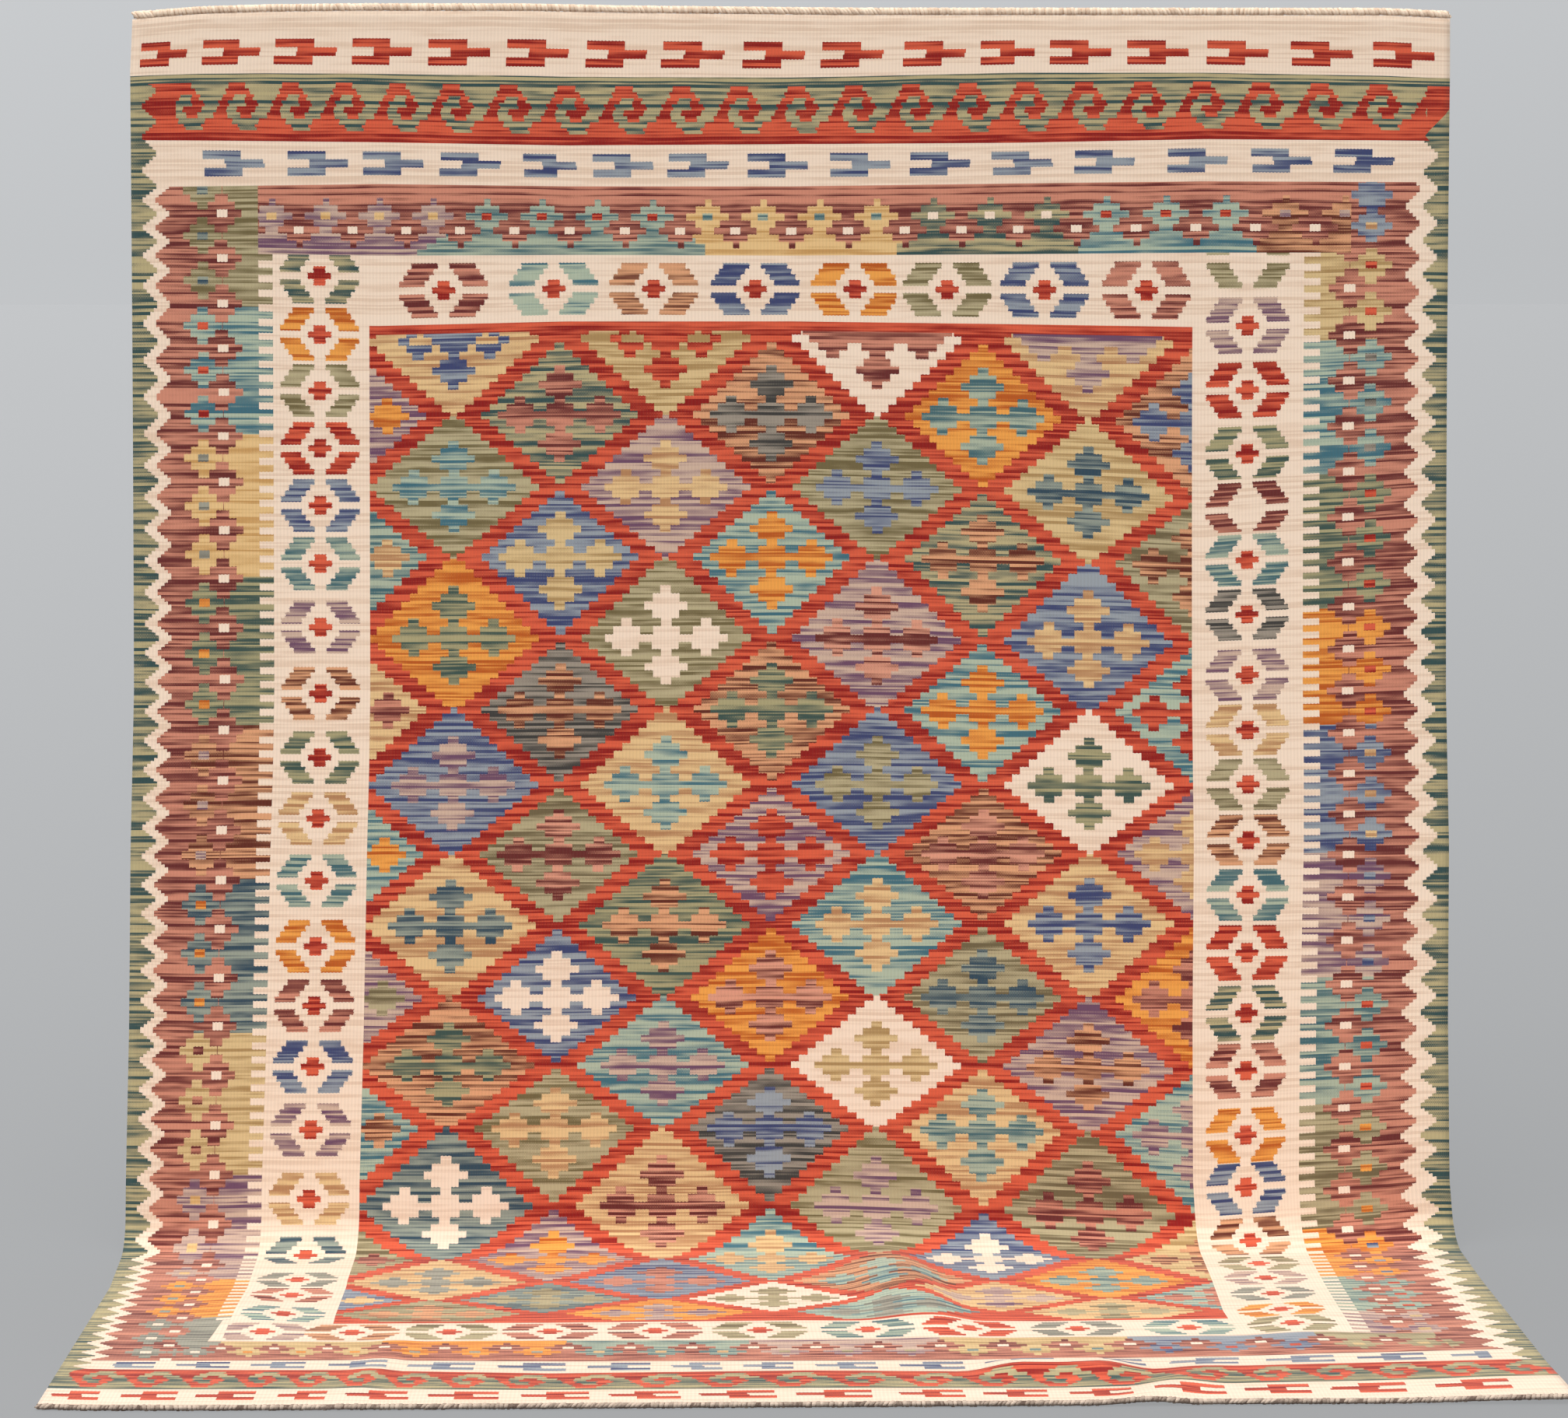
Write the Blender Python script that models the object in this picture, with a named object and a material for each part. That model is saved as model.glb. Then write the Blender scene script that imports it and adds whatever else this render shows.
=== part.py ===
"""A slit-woven kilim rug that hangs from its top edge, turns at the floor and lies forward on it.

Frame: origin at the middle of the hanging edge, X across the rug, Z up. The face of the rug looks along -Y, and
its lower part lies on the floor in front. Three pieces: the woven cloth with its side selvedges, and a plaited roll
of warp ends along each end. Lengths are in metres and angles in degrees.
"""

import math

import bpy
import numpy as np

# Driving dimensions
FLOOR_DROP = 1.667  # from the hanging edge down to the floor
FLOOR_REACH = 0.830  # from the hanging edge forward to the front of the lower roll
THICKNESS = 0.003  # of the woven cloth
LEAN_ANGLE = 5.7  # how far the hanging cloth has turned forward when it reaches the bend
BEND_RADIUS = 0.055  # of the turn from hanging to lying, on the back of the cloth
PIECE_GAP = 0.0003  # between the cloth and each roll of warp ends

UPPER_ROLL_WIDTH = 0.012  # measured along the warps
UPPER_ROLL_DEPTH = 0.007  # measured through the cloth
UPPER_PINCH = 0.10  # how much the roll narrows where two clusters of strands meet
LOWER_ROLL_WIDTH = 0.009
LOWER_ROLL_DEPTH = 0.0084
LOWER_PINCH = 0.24
ROLL_SIDES = 8

# Resolution. A roll has a ring of points at each third of a cluster, so that one falls on every column of the cloth.
COLUMNS = 42
CLUSTERS = 42
HANG_ROWS = 14
BEND_ROWS = 9
FLOOR_ROWS = 22

# How far the selvedges stand from the middle, along the cloth: the weave widens a little towards its lower end.
SELVEDGES = (  # share of the length, left half-width, right half-width
    (0.00, 0.872, 0.880),
    (0.03, 0.876, 0.881),
    (0.20, 0.878, 0.882),
    (0.38, 0.880, 0.884),
    (0.47, 0.886, 0.889),
    (0.57, 0.889, 0.888),
    (0.66, 0.894, 0.890),
    (0.71, 0.895, 0.899),
    (0.77, 0.888, 0.898),
    (1.00, 0.895, 0.904),
)

# How far the hanging edge drops below its middle: the corners sag a little.
HANGING_EDGE = (  # across the cloth from -1 to 1, drop
    (-1.00, 0.0080),
    (-0.90, 0.0010),
    (-0.80, -0.0020),
    (-0.65, -0.0035),
    (-0.40, -0.0035),
    (-0.25, -0.0010),
    (0.08, 0.0015),
    (0.90, 0.0010),
    (1.00, 0.0050),
)
SAG_FADE = 0.18  # length of cloth over which that drop fades out

# How far the front edge stays back from a straight line
FRONT_EDGE = (  # across the cloth from -1 to 1, set back
    (-1.00, 0.010),
    (-0.93, 0.003),
    (-0.80, 0.000),
    (0.30, 0.000),
    (0.55, 0.003),
    (1.00, 0.000),
)

# Ridges where the cloth stands off the floor, or swells a little as it hangs. Each is a smooth mound that runs along
# its heading, measured from the warps towards +X, and has its own width on either side of its crest.
RIDGES = (  # middle across, middle along, half-length, width to the left, width to the right, heading, height
    (0.150, 1.850, 0.300, 0.100, 0.062, 8.0, 0.019),
    (0.330, 2.205, 0.062, 0.150, 0.140, 0.0, 0.012),
    (-0.495, 2.120, 0.230, 0.045, 0.055, 6.0, 0.008),
    (-0.700, 1.950, 0.160, 0.080, 0.080, 20.0, 0.004),
    (0.640, 2.020, 0.200, 0.090, 0.110, -14.0, 0.005),
    (-0.430, 0.900, 0.620, 0.300, 0.260, 0.0, 0.007),
    (0.400, 1.050, 0.600, 0.280, 0.320, 3.0, 0.006),
)

# Places where the front edge itself is off the floor
EDGE_LIFTS = (  # middle across, half-width across, reach back from the edge, height
    (0.425, 0.085, 0.110, 0.0055),
    (0.900, 0.250, 0.150, 0.0045),
)
LEVEL_EDGE = 0.035  # the last of the cloth, which stays level from back to front where the edge is lifted


def column(table, index):
    """One column of a table, as an array."""
    return np.array([row[index] for row in table])


def along_table(table, where, index):
    """The value in one column of a table at a place given in its first column, read along straight lines."""
    return np.interp(where, column(table, 0), column(table, index))


def mound(distance):
    """A smooth mound: 1 at a distance of 0, and 0 with no slope from a distance of 1."""
    near = np.clip(np.abs(distance), 0.0, 1.0)
    return 0.5 + 0.5 * np.cos(math.pi * near)


def fall_lengths():
    """The lengths of cloth where it begins to bend, where it touches the floor, and where it ends."""
    lean = math.radians(LEAN_ANGLE)
    drop = FLOOR_DROP - UPPER_ROLL_WIDTH - PIECE_GAP
    hang_radius = (drop - BEND_RADIUS * (1 - math.sin(lean))) / math.sin(lean)
    bend_start = hang_radius * lean
    bend_end = bend_start + BEND_RADIUS * (math.pi / 2 - lean)
    touch = hang_radius * (1 - math.cos(lean)) + BEND_RADIUS * math.cos(lean)
    end = bend_end + FLOOR_REACH - LOWER_ROLL_WIDTH - PIECE_GAP - touch
    return hang_radius, bend_start, bend_end, end


def fall(length):
    """The side profile of the cloth's back: forward reach, height and turn from vertical at each length of cloth.

    The hanging part is an arc of a very large circle, then comes the tight arc of the bend, then a straight run.
    """
    lean = math.radians(LEAN_ANGLE)
    hang_radius, bend_start, bend_end, _ = fall_lengths()
    hang = np.clip(length, 0, bend_start) / hang_radius
    bend = lean + (np.clip(length, bend_start, bend_end) - bend_start) / BEND_RADIUS
    run = np.clip(length - bend_end, 0, None)
    forward = hang_radius * (1 - np.cos(hang)) + BEND_RADIUS * (math.cos(lean) - np.cos(bend)) + run
    down = hang_radius * np.sin(hang) + BEND_RADIUS * (np.sin(bend) - math.sin(lean))
    turn = np.where(length < bend_start, hang, bend)
    return forward, -UPPER_ROLL_WIDTH - PIECE_GAP - down, turn


def stand_off(side, length):
    """How far the cloth stands off its plain profile, at a place across and a length along the cloth."""
    height = np.zeros(np.broadcast(side, length).shape)
    for middle, along, half_length, left, right, heading, top in RIDGES:
        angle = math.radians(heading)
        across = (side - middle) * math.cos(angle) - (length - along) * math.sin(angle)
        down = (side - middle) * math.sin(angle) + (length - along) * math.cos(angle)
        width = np.where(across < 0, left, right)
        height += top * mound(across / width) * mound(down / half_length)
    from_edge = np.clip(fall_lengths()[3] - LEVEL_EDGE - length, 0, None)
    for middle, half_width, reach, top in EDGE_LIFTS:
        height += top * mound((side - middle) / half_width) * mound(from_edge / reach)
    return height


def cloth_back(across, length):
    """A point on the back of the cloth: across runs from -1 at the left selvedge to 1 at the right one."""
    _, _, bend_end, end = fall_lengths()
    share = length / end
    left = along_table(SELVEDGES, share, 1)
    right = along_table(SELVEDGES, share, 2)
    side = (right - left) / 2 + across * (right + left) / 2
    forward, up, turn = fall(length)
    sag = along_table(HANGING_EDGE, across, 1) * np.clip(1 - length / SAG_FADE, 0, 1)
    lying = np.clip((length - bend_end) / (end - bend_end), 0, 1)
    back = along_table(FRONT_EDGE, across, 1) * lying**2
    off = stand_off(side, length)
    depth = -forward - off * np.cos(turn) + back
    height = up - sag + off * np.sin(turn)
    return np.stack(np.broadcast_arrays(side, depth, height), axis=-1)


def row_lengths():
    """The lengths along the cloth at which its grid has a row of points."""
    _, bend_start, bend_end, end = fall_lengths()
    return np.concatenate(
        [
            np.linspace(0, bend_start, HANG_ROWS + 1)[:-1],
            np.linspace(bend_start, bend_end, BEND_ROWS + 1)[:-1],
            np.linspace(bend_end, end, FLOOR_ROWS + 1),
        ]
    )


def grid_faces(rows, columns):
    """The quads of a grid of points that is stored row by row."""
    index = np.arange(rows * columns).reshape(rows, columns)
    corners = (index[:-1, :-1], index[1:, :-1], index[1:, 1:], index[:-1, 1:])
    return np.stack([corner.ravel() for corner in corners], axis=-1).tolist()


def material(name, colour, roughness):
    """A plain yarn colour."""
    made = bpy.data.materials.new(name)
    made.use_nodes = True
    shader = made.node_tree.nodes["Principled BSDF"]
    shader.inputs["Base Color"].default_value = (*colour, 1.0)
    shader.inputs["Roughness"].default_value = roughness
    shader.inputs["Metallic"].default_value = 0.0
    made.diffuse_color = (*colour, 1.0)
    return made


def add_object(name, points, faces, colour):
    """Links a named mesh object in its own material."""
    mesh = bpy.data.meshes.new(name)
    mesh.from_pydata(points, [], faces)
    mesh.shade_smooth()
    mesh.materials.append(material(name, colour, 0.95))
    made = bpy.data.objects.new(name, mesh)
    bpy.context.scene.collection.objects.link(made)
    return made


def add_cloth():
    """The woven cloth, laid out as a grid on its back and thickened towards its face."""
    across = np.linspace(-1, 1, COLUMNS + 1)
    lengths = row_lengths()
    points = cloth_back(across[None, :], lengths[:, None])
    faces = grid_faces(len(lengths), len(across))
    cloth = add_object("kilim_cloth", points.reshape(-1, 3).tolist(), faces, (0.62, 0.40, 0.27))
    thicken = cloth.modifiers.new("Thickness", "SOLIDIFY")
    thicken.thickness = THICKNESS
    thicken.offset = 1.0
    cloth.data.set_sharp_from_angle(angle=math.radians(60))


def cluster_stations(pinch):
    """Places across the rug and the fatness of a roll there: full in a cluster, pinched unevenly where two meet."""
    places = np.linspace(-1, 1, CLUSTERS * 3 + 1)
    fat = np.ones(len(places))
    meeting = np.arange(CLUSTERS + 1)
    fat[0::3] = 1 - pinch * (0.6 + 0.4 * np.sin(meeting * 2.4))
    return places, fat


def add_roll(name, end_length, outward, faceward, sizes, pinch, colour):
    """A roll of warp ends along one end of the cloth: eight-sided rings strung along the cloth's own edge.

    outward points away from the cloth along the warps and faceward to the rug's face. Each ring's centre lies half
    a roll beyond the edge, and level with the cloth's thickness as sizes says.
    """
    width, depth, centre_off = sizes
    places, fat = cluster_stations(pinch)
    edge_places = np.linspace(-1, 1, COLUMNS + 1)
    edge = cloth_back(edge_places, end_length)
    line = np.stack([np.interp(places, edge_places, edge[:, axis]) for axis in range(3)], axis=-1)
    outward = np.array(outward, float)
    faceward = np.array(faceward, float)
    centre = line + outward * (PIECE_GAP + width / 2) + faceward * centre_off
    turns = (np.arange(ROLL_SIDES) + 0.5) * 2 * math.pi / ROLL_SIDES
    reach = 1 / math.cos(math.pi / ROLL_SIDES)
    ring = np.cos(turns)[:, None] * outward * width / 2 + np.sin(turns)[:, None] * faceward * depth / 2
    points = centre[:, None, :] + fat[:, None, None] * reach * ring[None, :, :]
    faces = []
    for start in range(0, (len(places) - 1) * ROLL_SIDES, ROLL_SIDES):
        for side in range(ROLL_SIDES):
            after = (side + 1) % ROLL_SIDES
            faces.append((start + side, start + after, start + ROLL_SIDES + after, start + ROLL_SIDES + side))
    last = (len(places) - 1) * ROLL_SIDES
    faces.append(tuple(reversed(range(ROLL_SIDES))))
    faces.append(tuple(range(last, last + ROLL_SIDES)))
    roll = add_object(name, points.reshape(-1, 3).tolist(), faces, colour)
    if np.cross(outward, faceward)[0] < 0:
        roll.data.flip_normals()


def add_rolls():
    """The plaited warp ends along the hanging edge, and those along the front edge on the floor."""
    end = fall_lengths()[3]
    upper = (UPPER_ROLL_WIDTH, UPPER_ROLL_DEPTH, THICKNESS / 2)
    lower = (LOWER_ROLL_WIDTH, LOWER_ROLL_DEPTH, LOWER_ROLL_DEPTH / 2)
    beige = (0.50, 0.41, 0.32)
    add_roll("upper_plait", 0.0, (0, 0, 1), (0, -1, 0), upper, UPPER_PINCH, beige)
    add_roll("lower_plait", end, (0, -1, 0), (0, 0, 1), lower, LOWER_PINCH, beige)


def main():
    for old in list(bpy.data.objects):
        bpy.data.objects.remove(old, do_unlink=True)
    add_cloth()
    add_rolls()


main()
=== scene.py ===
"""Looks of a slit-woven kilim rug that hangs from its top edge, turns at the floor and lies forward on it.

Frame: origin at the middle of the hanging edge, X across the rug, Z up. The face of the rug looks along -Y.
Lengths are in metres and angles in degrees. The pattern is laid out in weave places: `across` in metres from
the middle warp and `along` in metres of cloth from the hanging edge. cloth_points lays them on the folds.
"""

import math

import bpy
import numpy as np
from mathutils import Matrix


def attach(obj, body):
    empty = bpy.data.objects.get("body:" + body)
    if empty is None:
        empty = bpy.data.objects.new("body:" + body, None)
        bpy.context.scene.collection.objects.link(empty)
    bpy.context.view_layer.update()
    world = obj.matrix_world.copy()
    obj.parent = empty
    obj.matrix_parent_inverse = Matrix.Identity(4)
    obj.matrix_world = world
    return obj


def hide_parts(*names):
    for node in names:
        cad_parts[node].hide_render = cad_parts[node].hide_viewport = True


bl_info = {
    "name": "Kilim rug looks",
    "version": (1, 0, 0),
    "blender": (4, 5, 0),
    "location": "3D View > Sidebar > Kilim",
    "description": "Builds the woven rug, its rolls of warp ends and a plain stage",
    "category": "Object",
}

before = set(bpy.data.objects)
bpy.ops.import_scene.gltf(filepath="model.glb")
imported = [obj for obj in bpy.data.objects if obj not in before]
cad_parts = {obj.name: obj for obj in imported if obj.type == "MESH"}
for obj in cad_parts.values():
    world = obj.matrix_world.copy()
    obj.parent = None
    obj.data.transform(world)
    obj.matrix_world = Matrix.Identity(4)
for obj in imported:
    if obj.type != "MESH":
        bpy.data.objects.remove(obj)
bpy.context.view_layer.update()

# ---- Shape of the cloth ------------------------------------------------------------------------------------

FLOOR_DROP = 1.667
FLOOR_REACH = 0.830
LEAN_ANGLE = 5.7
BEND_RADIUS = 0.055
PIECE_GAP = 0.0003
UPPER_ROLL_WIDTH = 0.012
UPPER_ROLL_DEPTH = 0.007
LOWER_ROLL_WIDTH = 0.009
LOWER_ROLL_DEPTH = 0.0084
ROLL_OVERLAP = 0.0012

SELVEDGES = (  # share of the length, left half-width, right half-width
    (0.00, 0.872, 0.880),
    (0.03, 0.876, 0.881),
    (0.20, 0.878, 0.882),
    (0.38, 0.880, 0.884),
    (0.47, 0.886, 0.889),
    (0.57, 0.889, 0.888),
    (0.66, 0.894, 0.890),
    (0.71, 0.895, 0.899),
    (0.77, 0.888, 0.898),
    (1.00, 0.895, 0.904),
)
HANGING_EDGE = (  # across the cloth from -1 to 1, drop
    (-1.00, 0.0080),
    (-0.90, 0.0010),
    (-0.80, -0.0020),
    (-0.65, -0.0035),
    (-0.40, -0.0035),
    (-0.25, -0.0010),
    (0.08, 0.0015),
    (0.90, 0.0010),
    (1.00, 0.0050),
)
SAG_FADE = 0.18
FRONT_EDGE = (  # across the cloth from -1 to 1, set back
    (-1.00, 0.010),
    (-0.93, 0.003),
    (-0.80, 0.000),
    (0.30, 0.000),
    (0.55, 0.003),
    (1.00, 0.000),
)
RIDGES = (  # middle across, middle along, half-length, width to the left, width to the right, heading, height
    (0.150, 1.850, 0.300, 0.100, 0.062, 8.0, 0.019),
    (0.268, 2.236, 0.056, 0.080, 0.085, 0.0, 0.0130),
    (0.353, 2.236, 0.056, 0.085, 0.075, 0.0, 0.0130),
    (0.436, 2.315, 0.160, 0.050, 0.055, -33.0, 0.0065),
    (-0.510, 2.200, 0.220, 0.044, 0.036, -8.0, 0.0030),
    (-0.700, 1.950, 0.160, 0.080, 0.080, 20.0, 0.004),
    (0.640, 2.020, 0.200, 0.090, 0.110, -14.0, 0.005),
    (-0.430, 0.900, 0.620, 0.300, 0.260, 0.0, 0.007),
    (0.400, 1.050, 0.600, 0.280, 0.320, 3.0, 0.006),
)
EDGE_LIFTS = (  # middle across, half-width across, reach back from the front edge, height
    (0.900, 0.250, 0.150, 0.0045),
)
LEVEL_EDGE = 0.035  # of the cloth before the lower roll, which lies flat

# ---- Places of the weave -----------------------------------------------------------------------------------

HALF_WIDTH = 0.8765  # of the weave, at the selvedges
END = 2.3748  # where the cloth ends, along

# Lines across the weave, along
HEADER_TOP, HOOKS_TOP, BASE_TOP, BASE_END = 0.0825, 0.094, 0.156, 0.170
FLOWERS_TOP, FLOWERS_END, FRAME_LINE, FIELD_TOP = 0.226, 0.319, 0.4095, 0.422
FIELD_END, LOW_FRAME_END, LOW_FLOWERS_TOP, LOW_FLOWERS_END = 2.002, 2.010, 2.094, 2.186
LOW_BASE_TOP, LOW_HOOKS_TOP, LOW_HEADER_TOP, LOW_HEADER_END = 2.231, 2.239, 2.296, 2.303
TURN_LINES = (1.60, 1.70)  # two lines of the grid, just above the turn at the floor and on it

# Lines along the weave, across: left and right edge stripes, flowers, combs and the ring of hexagons
EDGES = (-0.8165, 0.8165)
COMBS_OUT = (-0.709, 0.706)
COMBS_IN = (-0.690, 0.684)
FIELD_SIDES = (-0.562, 0.535)

# How far the weft lines stray along the cloth from level ones, at these places across
WEFT_PLACES = (-0.85, -0.55, -0.30, 0.00, 0.30, 0.55, 0.85)
WEFT_LINES = (  # along, then the stray in millimetres at each place across
    (0.0000, 0, 0, 0, 0, 0, 0, 0),
    (0.0825, -4, -1, 2, 1, -6, -6, -1),
    (0.1700, -3, 0, 4, 2, 0, -5, -3),
    (0.2260, 3, -1, 2, 2, -2, -5, -4),
    (0.3190, -3, 1, 0, 1, -1, -3, -3),
    (0.4095, 0, 4, -2, -2, 2, 6, 0),
    (0.6300, 0, 0, 0, 0, 6, 18, 0),
    (0.8300, 0, 0, 0, 0, 5, 10, 0),
    (1.0300, 0, 0, 0, 0, 2, 4, 0),
    (1.2200, 0, 0, 0, 0, -1, 0, 0),
    (1.4100, 0, 0, 0, 0, 4, 12, 0),
    (1.6000, 0, 0, 0, 0, 9, 20, 0),
    (1.8000, 0, 0, 0, 0, 6, 15, 0),
    (2.0110, -10, 0, 0, -5, 5, -3, -12),
    (2.0990, -10, 0, -1, 2, -5, -6, -20),
    (2.1860, -12, -10, 0, 3, 3, -8, -34),
    (2.2350, -20, -12, 8, 0, 14, -12, -32),
    (2.3070, -5, -4, 6, 3, 8, -8, -22),
    (2.3748, 0, 0, 0, 0, 0, 0, 0),
)

# How far the warps stray across the cloth from straight ones, at these places across
WARP_PLACES = (-0.8765, -0.8165, -0.70, -0.562, -0.30, 0.00, 0.30, 0.535, 0.70, 0.8165, 0.8765)
WARP_LINES = (  # along, then the stray in millimetres at each place across
    (0.00, 0, 0, 0, 0, 0, 0, 0, 0, 0, 0, 0),
    (1.00, 0, 0, 0, 0, 0, 0, 0, 0, 0, 0, 0),
    (1.60, 0, -1, -8, -7, -3, 0, 0, 0, -10, -10, 0),
    (1.80, 0, -3, -11, -14, -10, -5, -2, -4, -12, -13, 0),
    (1.97, 0, -4, -12, -14, -10, -5, -5, -10, -15, -13, 0),
    (2.10, 0, -3, -12, -10, -4, 0, 0, -5, -15, -13, 0),
    (2.19, 0, 0, 0, 0, 0, 0, 0, 0, 0, 0, 0),
    (2.38, 0, 0, 0, 0, 0, 0, 0, 0, 0, 0, 0),
)

YARNS = (  # name, light tone, dark tone, share of dark rows
    ("cream", (239, 217, 195), (225, 197, 172), 0.32),
    ("red", (214, 92, 62), (136, 16, 14), 0.46),
    ("orange", (232, 158, 72), (180, 84, 22), 0.44),
    ("sand", (222, 188, 136), (174, 126, 86), 0.42),
    ("gold", (224, 188, 132), (194, 148, 88), 0.40),
    ("khaki", (212, 184, 134), (166, 134, 86), 0.42),
    ("olive", (178, 166, 130), (108, 96, 62), 0.46),
    ("sage", (176, 164, 128), (106, 94, 66), 0.46),
    ("green", (180, 166, 124), (46, 74, 74), 0.49),
    ("deep green", (164, 156, 116), (54, 78, 72), 0.48),
    ("teal", (166, 176, 154), (60, 98, 106), 0.48),
    ("turquoise", (170, 182, 160), (58, 104, 118), 0.44),
    ("royal", (146, 154, 160), (54, 64, 106), 0.48),
    ("petrol", (146, 154, 140), (42, 68, 84), 0.50),
    ("lilac", (200, 172, 152), (104, 70, 96), 0.48),
    ("rose", (202, 134, 110), (98, 36, 36), 0.50),
    ("brown", (216, 158, 116), (92, 36, 24), 0.46),
    ("maroon", (214, 150, 124), (98, 36, 34), 0.48),
    ("charcoal", (150, 140, 126), (56, 56, 54), 0.50),
    ("grey", (156, 154, 138), (102, 100, 92), 0.46),
)
YARN_NUMBERS = {row[0]: number for number, row in enumerate(YARNS)}

# The diamonds of the field, row by row: along, then ground and figure of each from left to right
FIELD_ROWS = (
    (0.432, "sand royal", "khaki red", "cream rose", "sand lilac"),
    (0.533, "lilac orange", "green rose", "brown charcoal", "orange teal", "brown royal"),
    (0.629, "olive turquoise", "lilac sand", "olive royal", "khaki petrol"),
    (0.722, "teal sand", "royal khaki", "turquoise orange", "green brown", "sage brown"),
    (0.832, "orange deep_green", "olive cream", "lilac maroon", "royal sand"),
    (0.927, "sand rose", "charcoal brown", "brown deep_green", "turquoise orange", "turquoise red"),
    (1.029, "royal lilac", "sand turquoise", "royal olive", "cream deep_green"),
    (1.122, "turquoise orange", "sage maroon", "lilac red", "brown maroon", "lilac sand"),
    (1.218, "sand petrol", "deep_green brown", "turquoise sand", "sand royal"),
    (1.316, "lilac sage", "royal cream", "orange maroon", "sage petrol", "orange rose"),
    (1.407, "brown deep_green", "turquoise lilac", "cream khaki", "lilac brown"),
    (1.491, "turquoise brown", "olive sand", "charcoal royal", "sand teal", "turquoise lilac"),
    (1.596, "petrol cream", "sand maroon", "olive lilac", "sage rose"),
    (1.694, "sage rose", "lilac orange", "turquoise sand", "royal cream", "khaki brown"),
    (1.812, "sand grey", "royal rose", "brown turquoise", "orange teal"),
    (1.900, "royal sand", "petrol sage", "cream sage", "sand lilac", "turquoise rose"),
    (1.967, "sage brown", "orange lilac", "turquoise grey", "sand sage"),
)
# The figures of the top row of diamonds, which the frame cuts, on both sides of their middles: row, then from
# and to in steps. Those of the last two diamonds are wide.
HALF_FIGURES = (
    (-1, 0.0, 3.6), (-1, 4.4, 5.7), (0, 0.0, 2.7), (0, 5.45, 6.8), (1, 0.0, 1.7), (1, 2.7, 5.8),
    (2, 0.0, 0.67), (2, 3.7, 5.1),
)  # fmt: skip
WIDE_FIGURES = ((-1, 0.0, 9.2), (0, 0.0, 8.3), (1, 0.0, 2.0), (1, 3.7, 7.3), (2, 0.0, 1.0), (2, 4.7, 6.3))
FIELD_STEP = 0.01085  # one step of a diamond's side, across
FIELD_GAP = 10  # rows of steps from one row of diamonds to the next
DIAMOND_HALF, ODD_LOSS = 10.4, 0.8  # steps from a diamond's middle to its band, and less in the rows of five
TOP_MARK = 20.0  # added to that on the top row, and once more where its figures are wide
SMALL_HALF = 2.65  # half-width of the small diamonds of a figure, in steps
SMALL_OUT, SMALL_UP = 4.9, 4.0  # how far the side ones and the upper and lower ones lie from the middle
FIELD_MIDDLES = (-0.4505, -0.5915)  # the first diamond of the rows of four, and of those of five
FIELD_PITCH = 26  # steps from one diamond to the next in its row

# The ring of hexagons
LEFT_HEXAGONS = (
    (0.346, "green"), (0.422, "orange"), (0.498, "olive"), (0.576, "red"), (0.653, "royal"),
    (0.731, "teal"), (0.816, "lilac"), (0.905, "brown"), (0.991, "deep_green"), (1.073, "sand"),
    (1.157, "teal"), (1.245, "orange"), (1.325, "rose"), (1.407, "royal"), (1.492, "lilac"),
    (1.585, "sand"), (1.673, "petrol"), (1.792, "grey"), (1.871, "rose"), (1.968, "turquoise"),
)  # fmt: skip
RIGHT_HEXAGONS = (
    (0.327, "olive"), (0.409, "lilac"), (0.491, "red"), (0.573, "deep_green"), (0.645, "rose"),
    (0.716, "teal"), (0.792, "charcoal"), (0.876, "lilac"), (0.952, "sand"), (1.027, "sage"),
    (1.104, "brown"), (1.179, "teal"), (1.256, "red"), (1.334, "green"), (1.408, "rose"), (1.492, "orange"),
    (1.560, "royal"), (1.636, "brown"), (1.718, "sage"), (1.795, "lilac"), (1.882, "grey"),
    (1.976, "orange"),
)  # fmt: skip
TOP_HEXAGONS = (
    (-0.463, "rose"), (-0.317, "turquoise"), (-0.184, "brown"), (-0.049, "royal"),
    (0.084, "orange"), (0.207, "olive"), (0.337, "royal"), (0.473, "rose"),
)  # fmt: skip
LOW_HEXAGONS = (
    (-0.645, "lilac"), (-0.537, "brown"), (-0.421, "sage"), (-0.301, "rose"), (-0.175, "rose"),
    (-0.049, "sage"), (0.082, "teal"), (0.206, "red"), (0.339, "grey"), (0.479, "turquoise"),
    (0.611, "sage"),
)  # fmt: skip
HEXAGON_SIDES = (-0.628, 0.609)  # middles of the two upright rows, across
HEXAGON_LINES = (0.365, 2.051)  # middles of the two level rows, along
PLAIN_HEXAGONS = (0.327, 0.645)  # those of the right row without a red cross
HEXAGON_REACHES = (52.4, 55.6, 59.0, 57.0)  # half-widths of the left, right, top and low rows, in millimetres
# Half the gap between the wings, one row of a wing, where its inner side starts, and how far both its sides
# step in from row to row, in millimetres
WING_START, WING_ROW, WING_INNER, INNER_STEP, OUTER_STEP = 4.7, 7.7, 25.0, 5.8, 5.4
CROSS_HIGH, CROSS_WIDE, CROSS_BAR, CROSS_STEM = 12.5, 15.5, 4.1, 8.0  # halves of the cross, in millimetres

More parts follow.
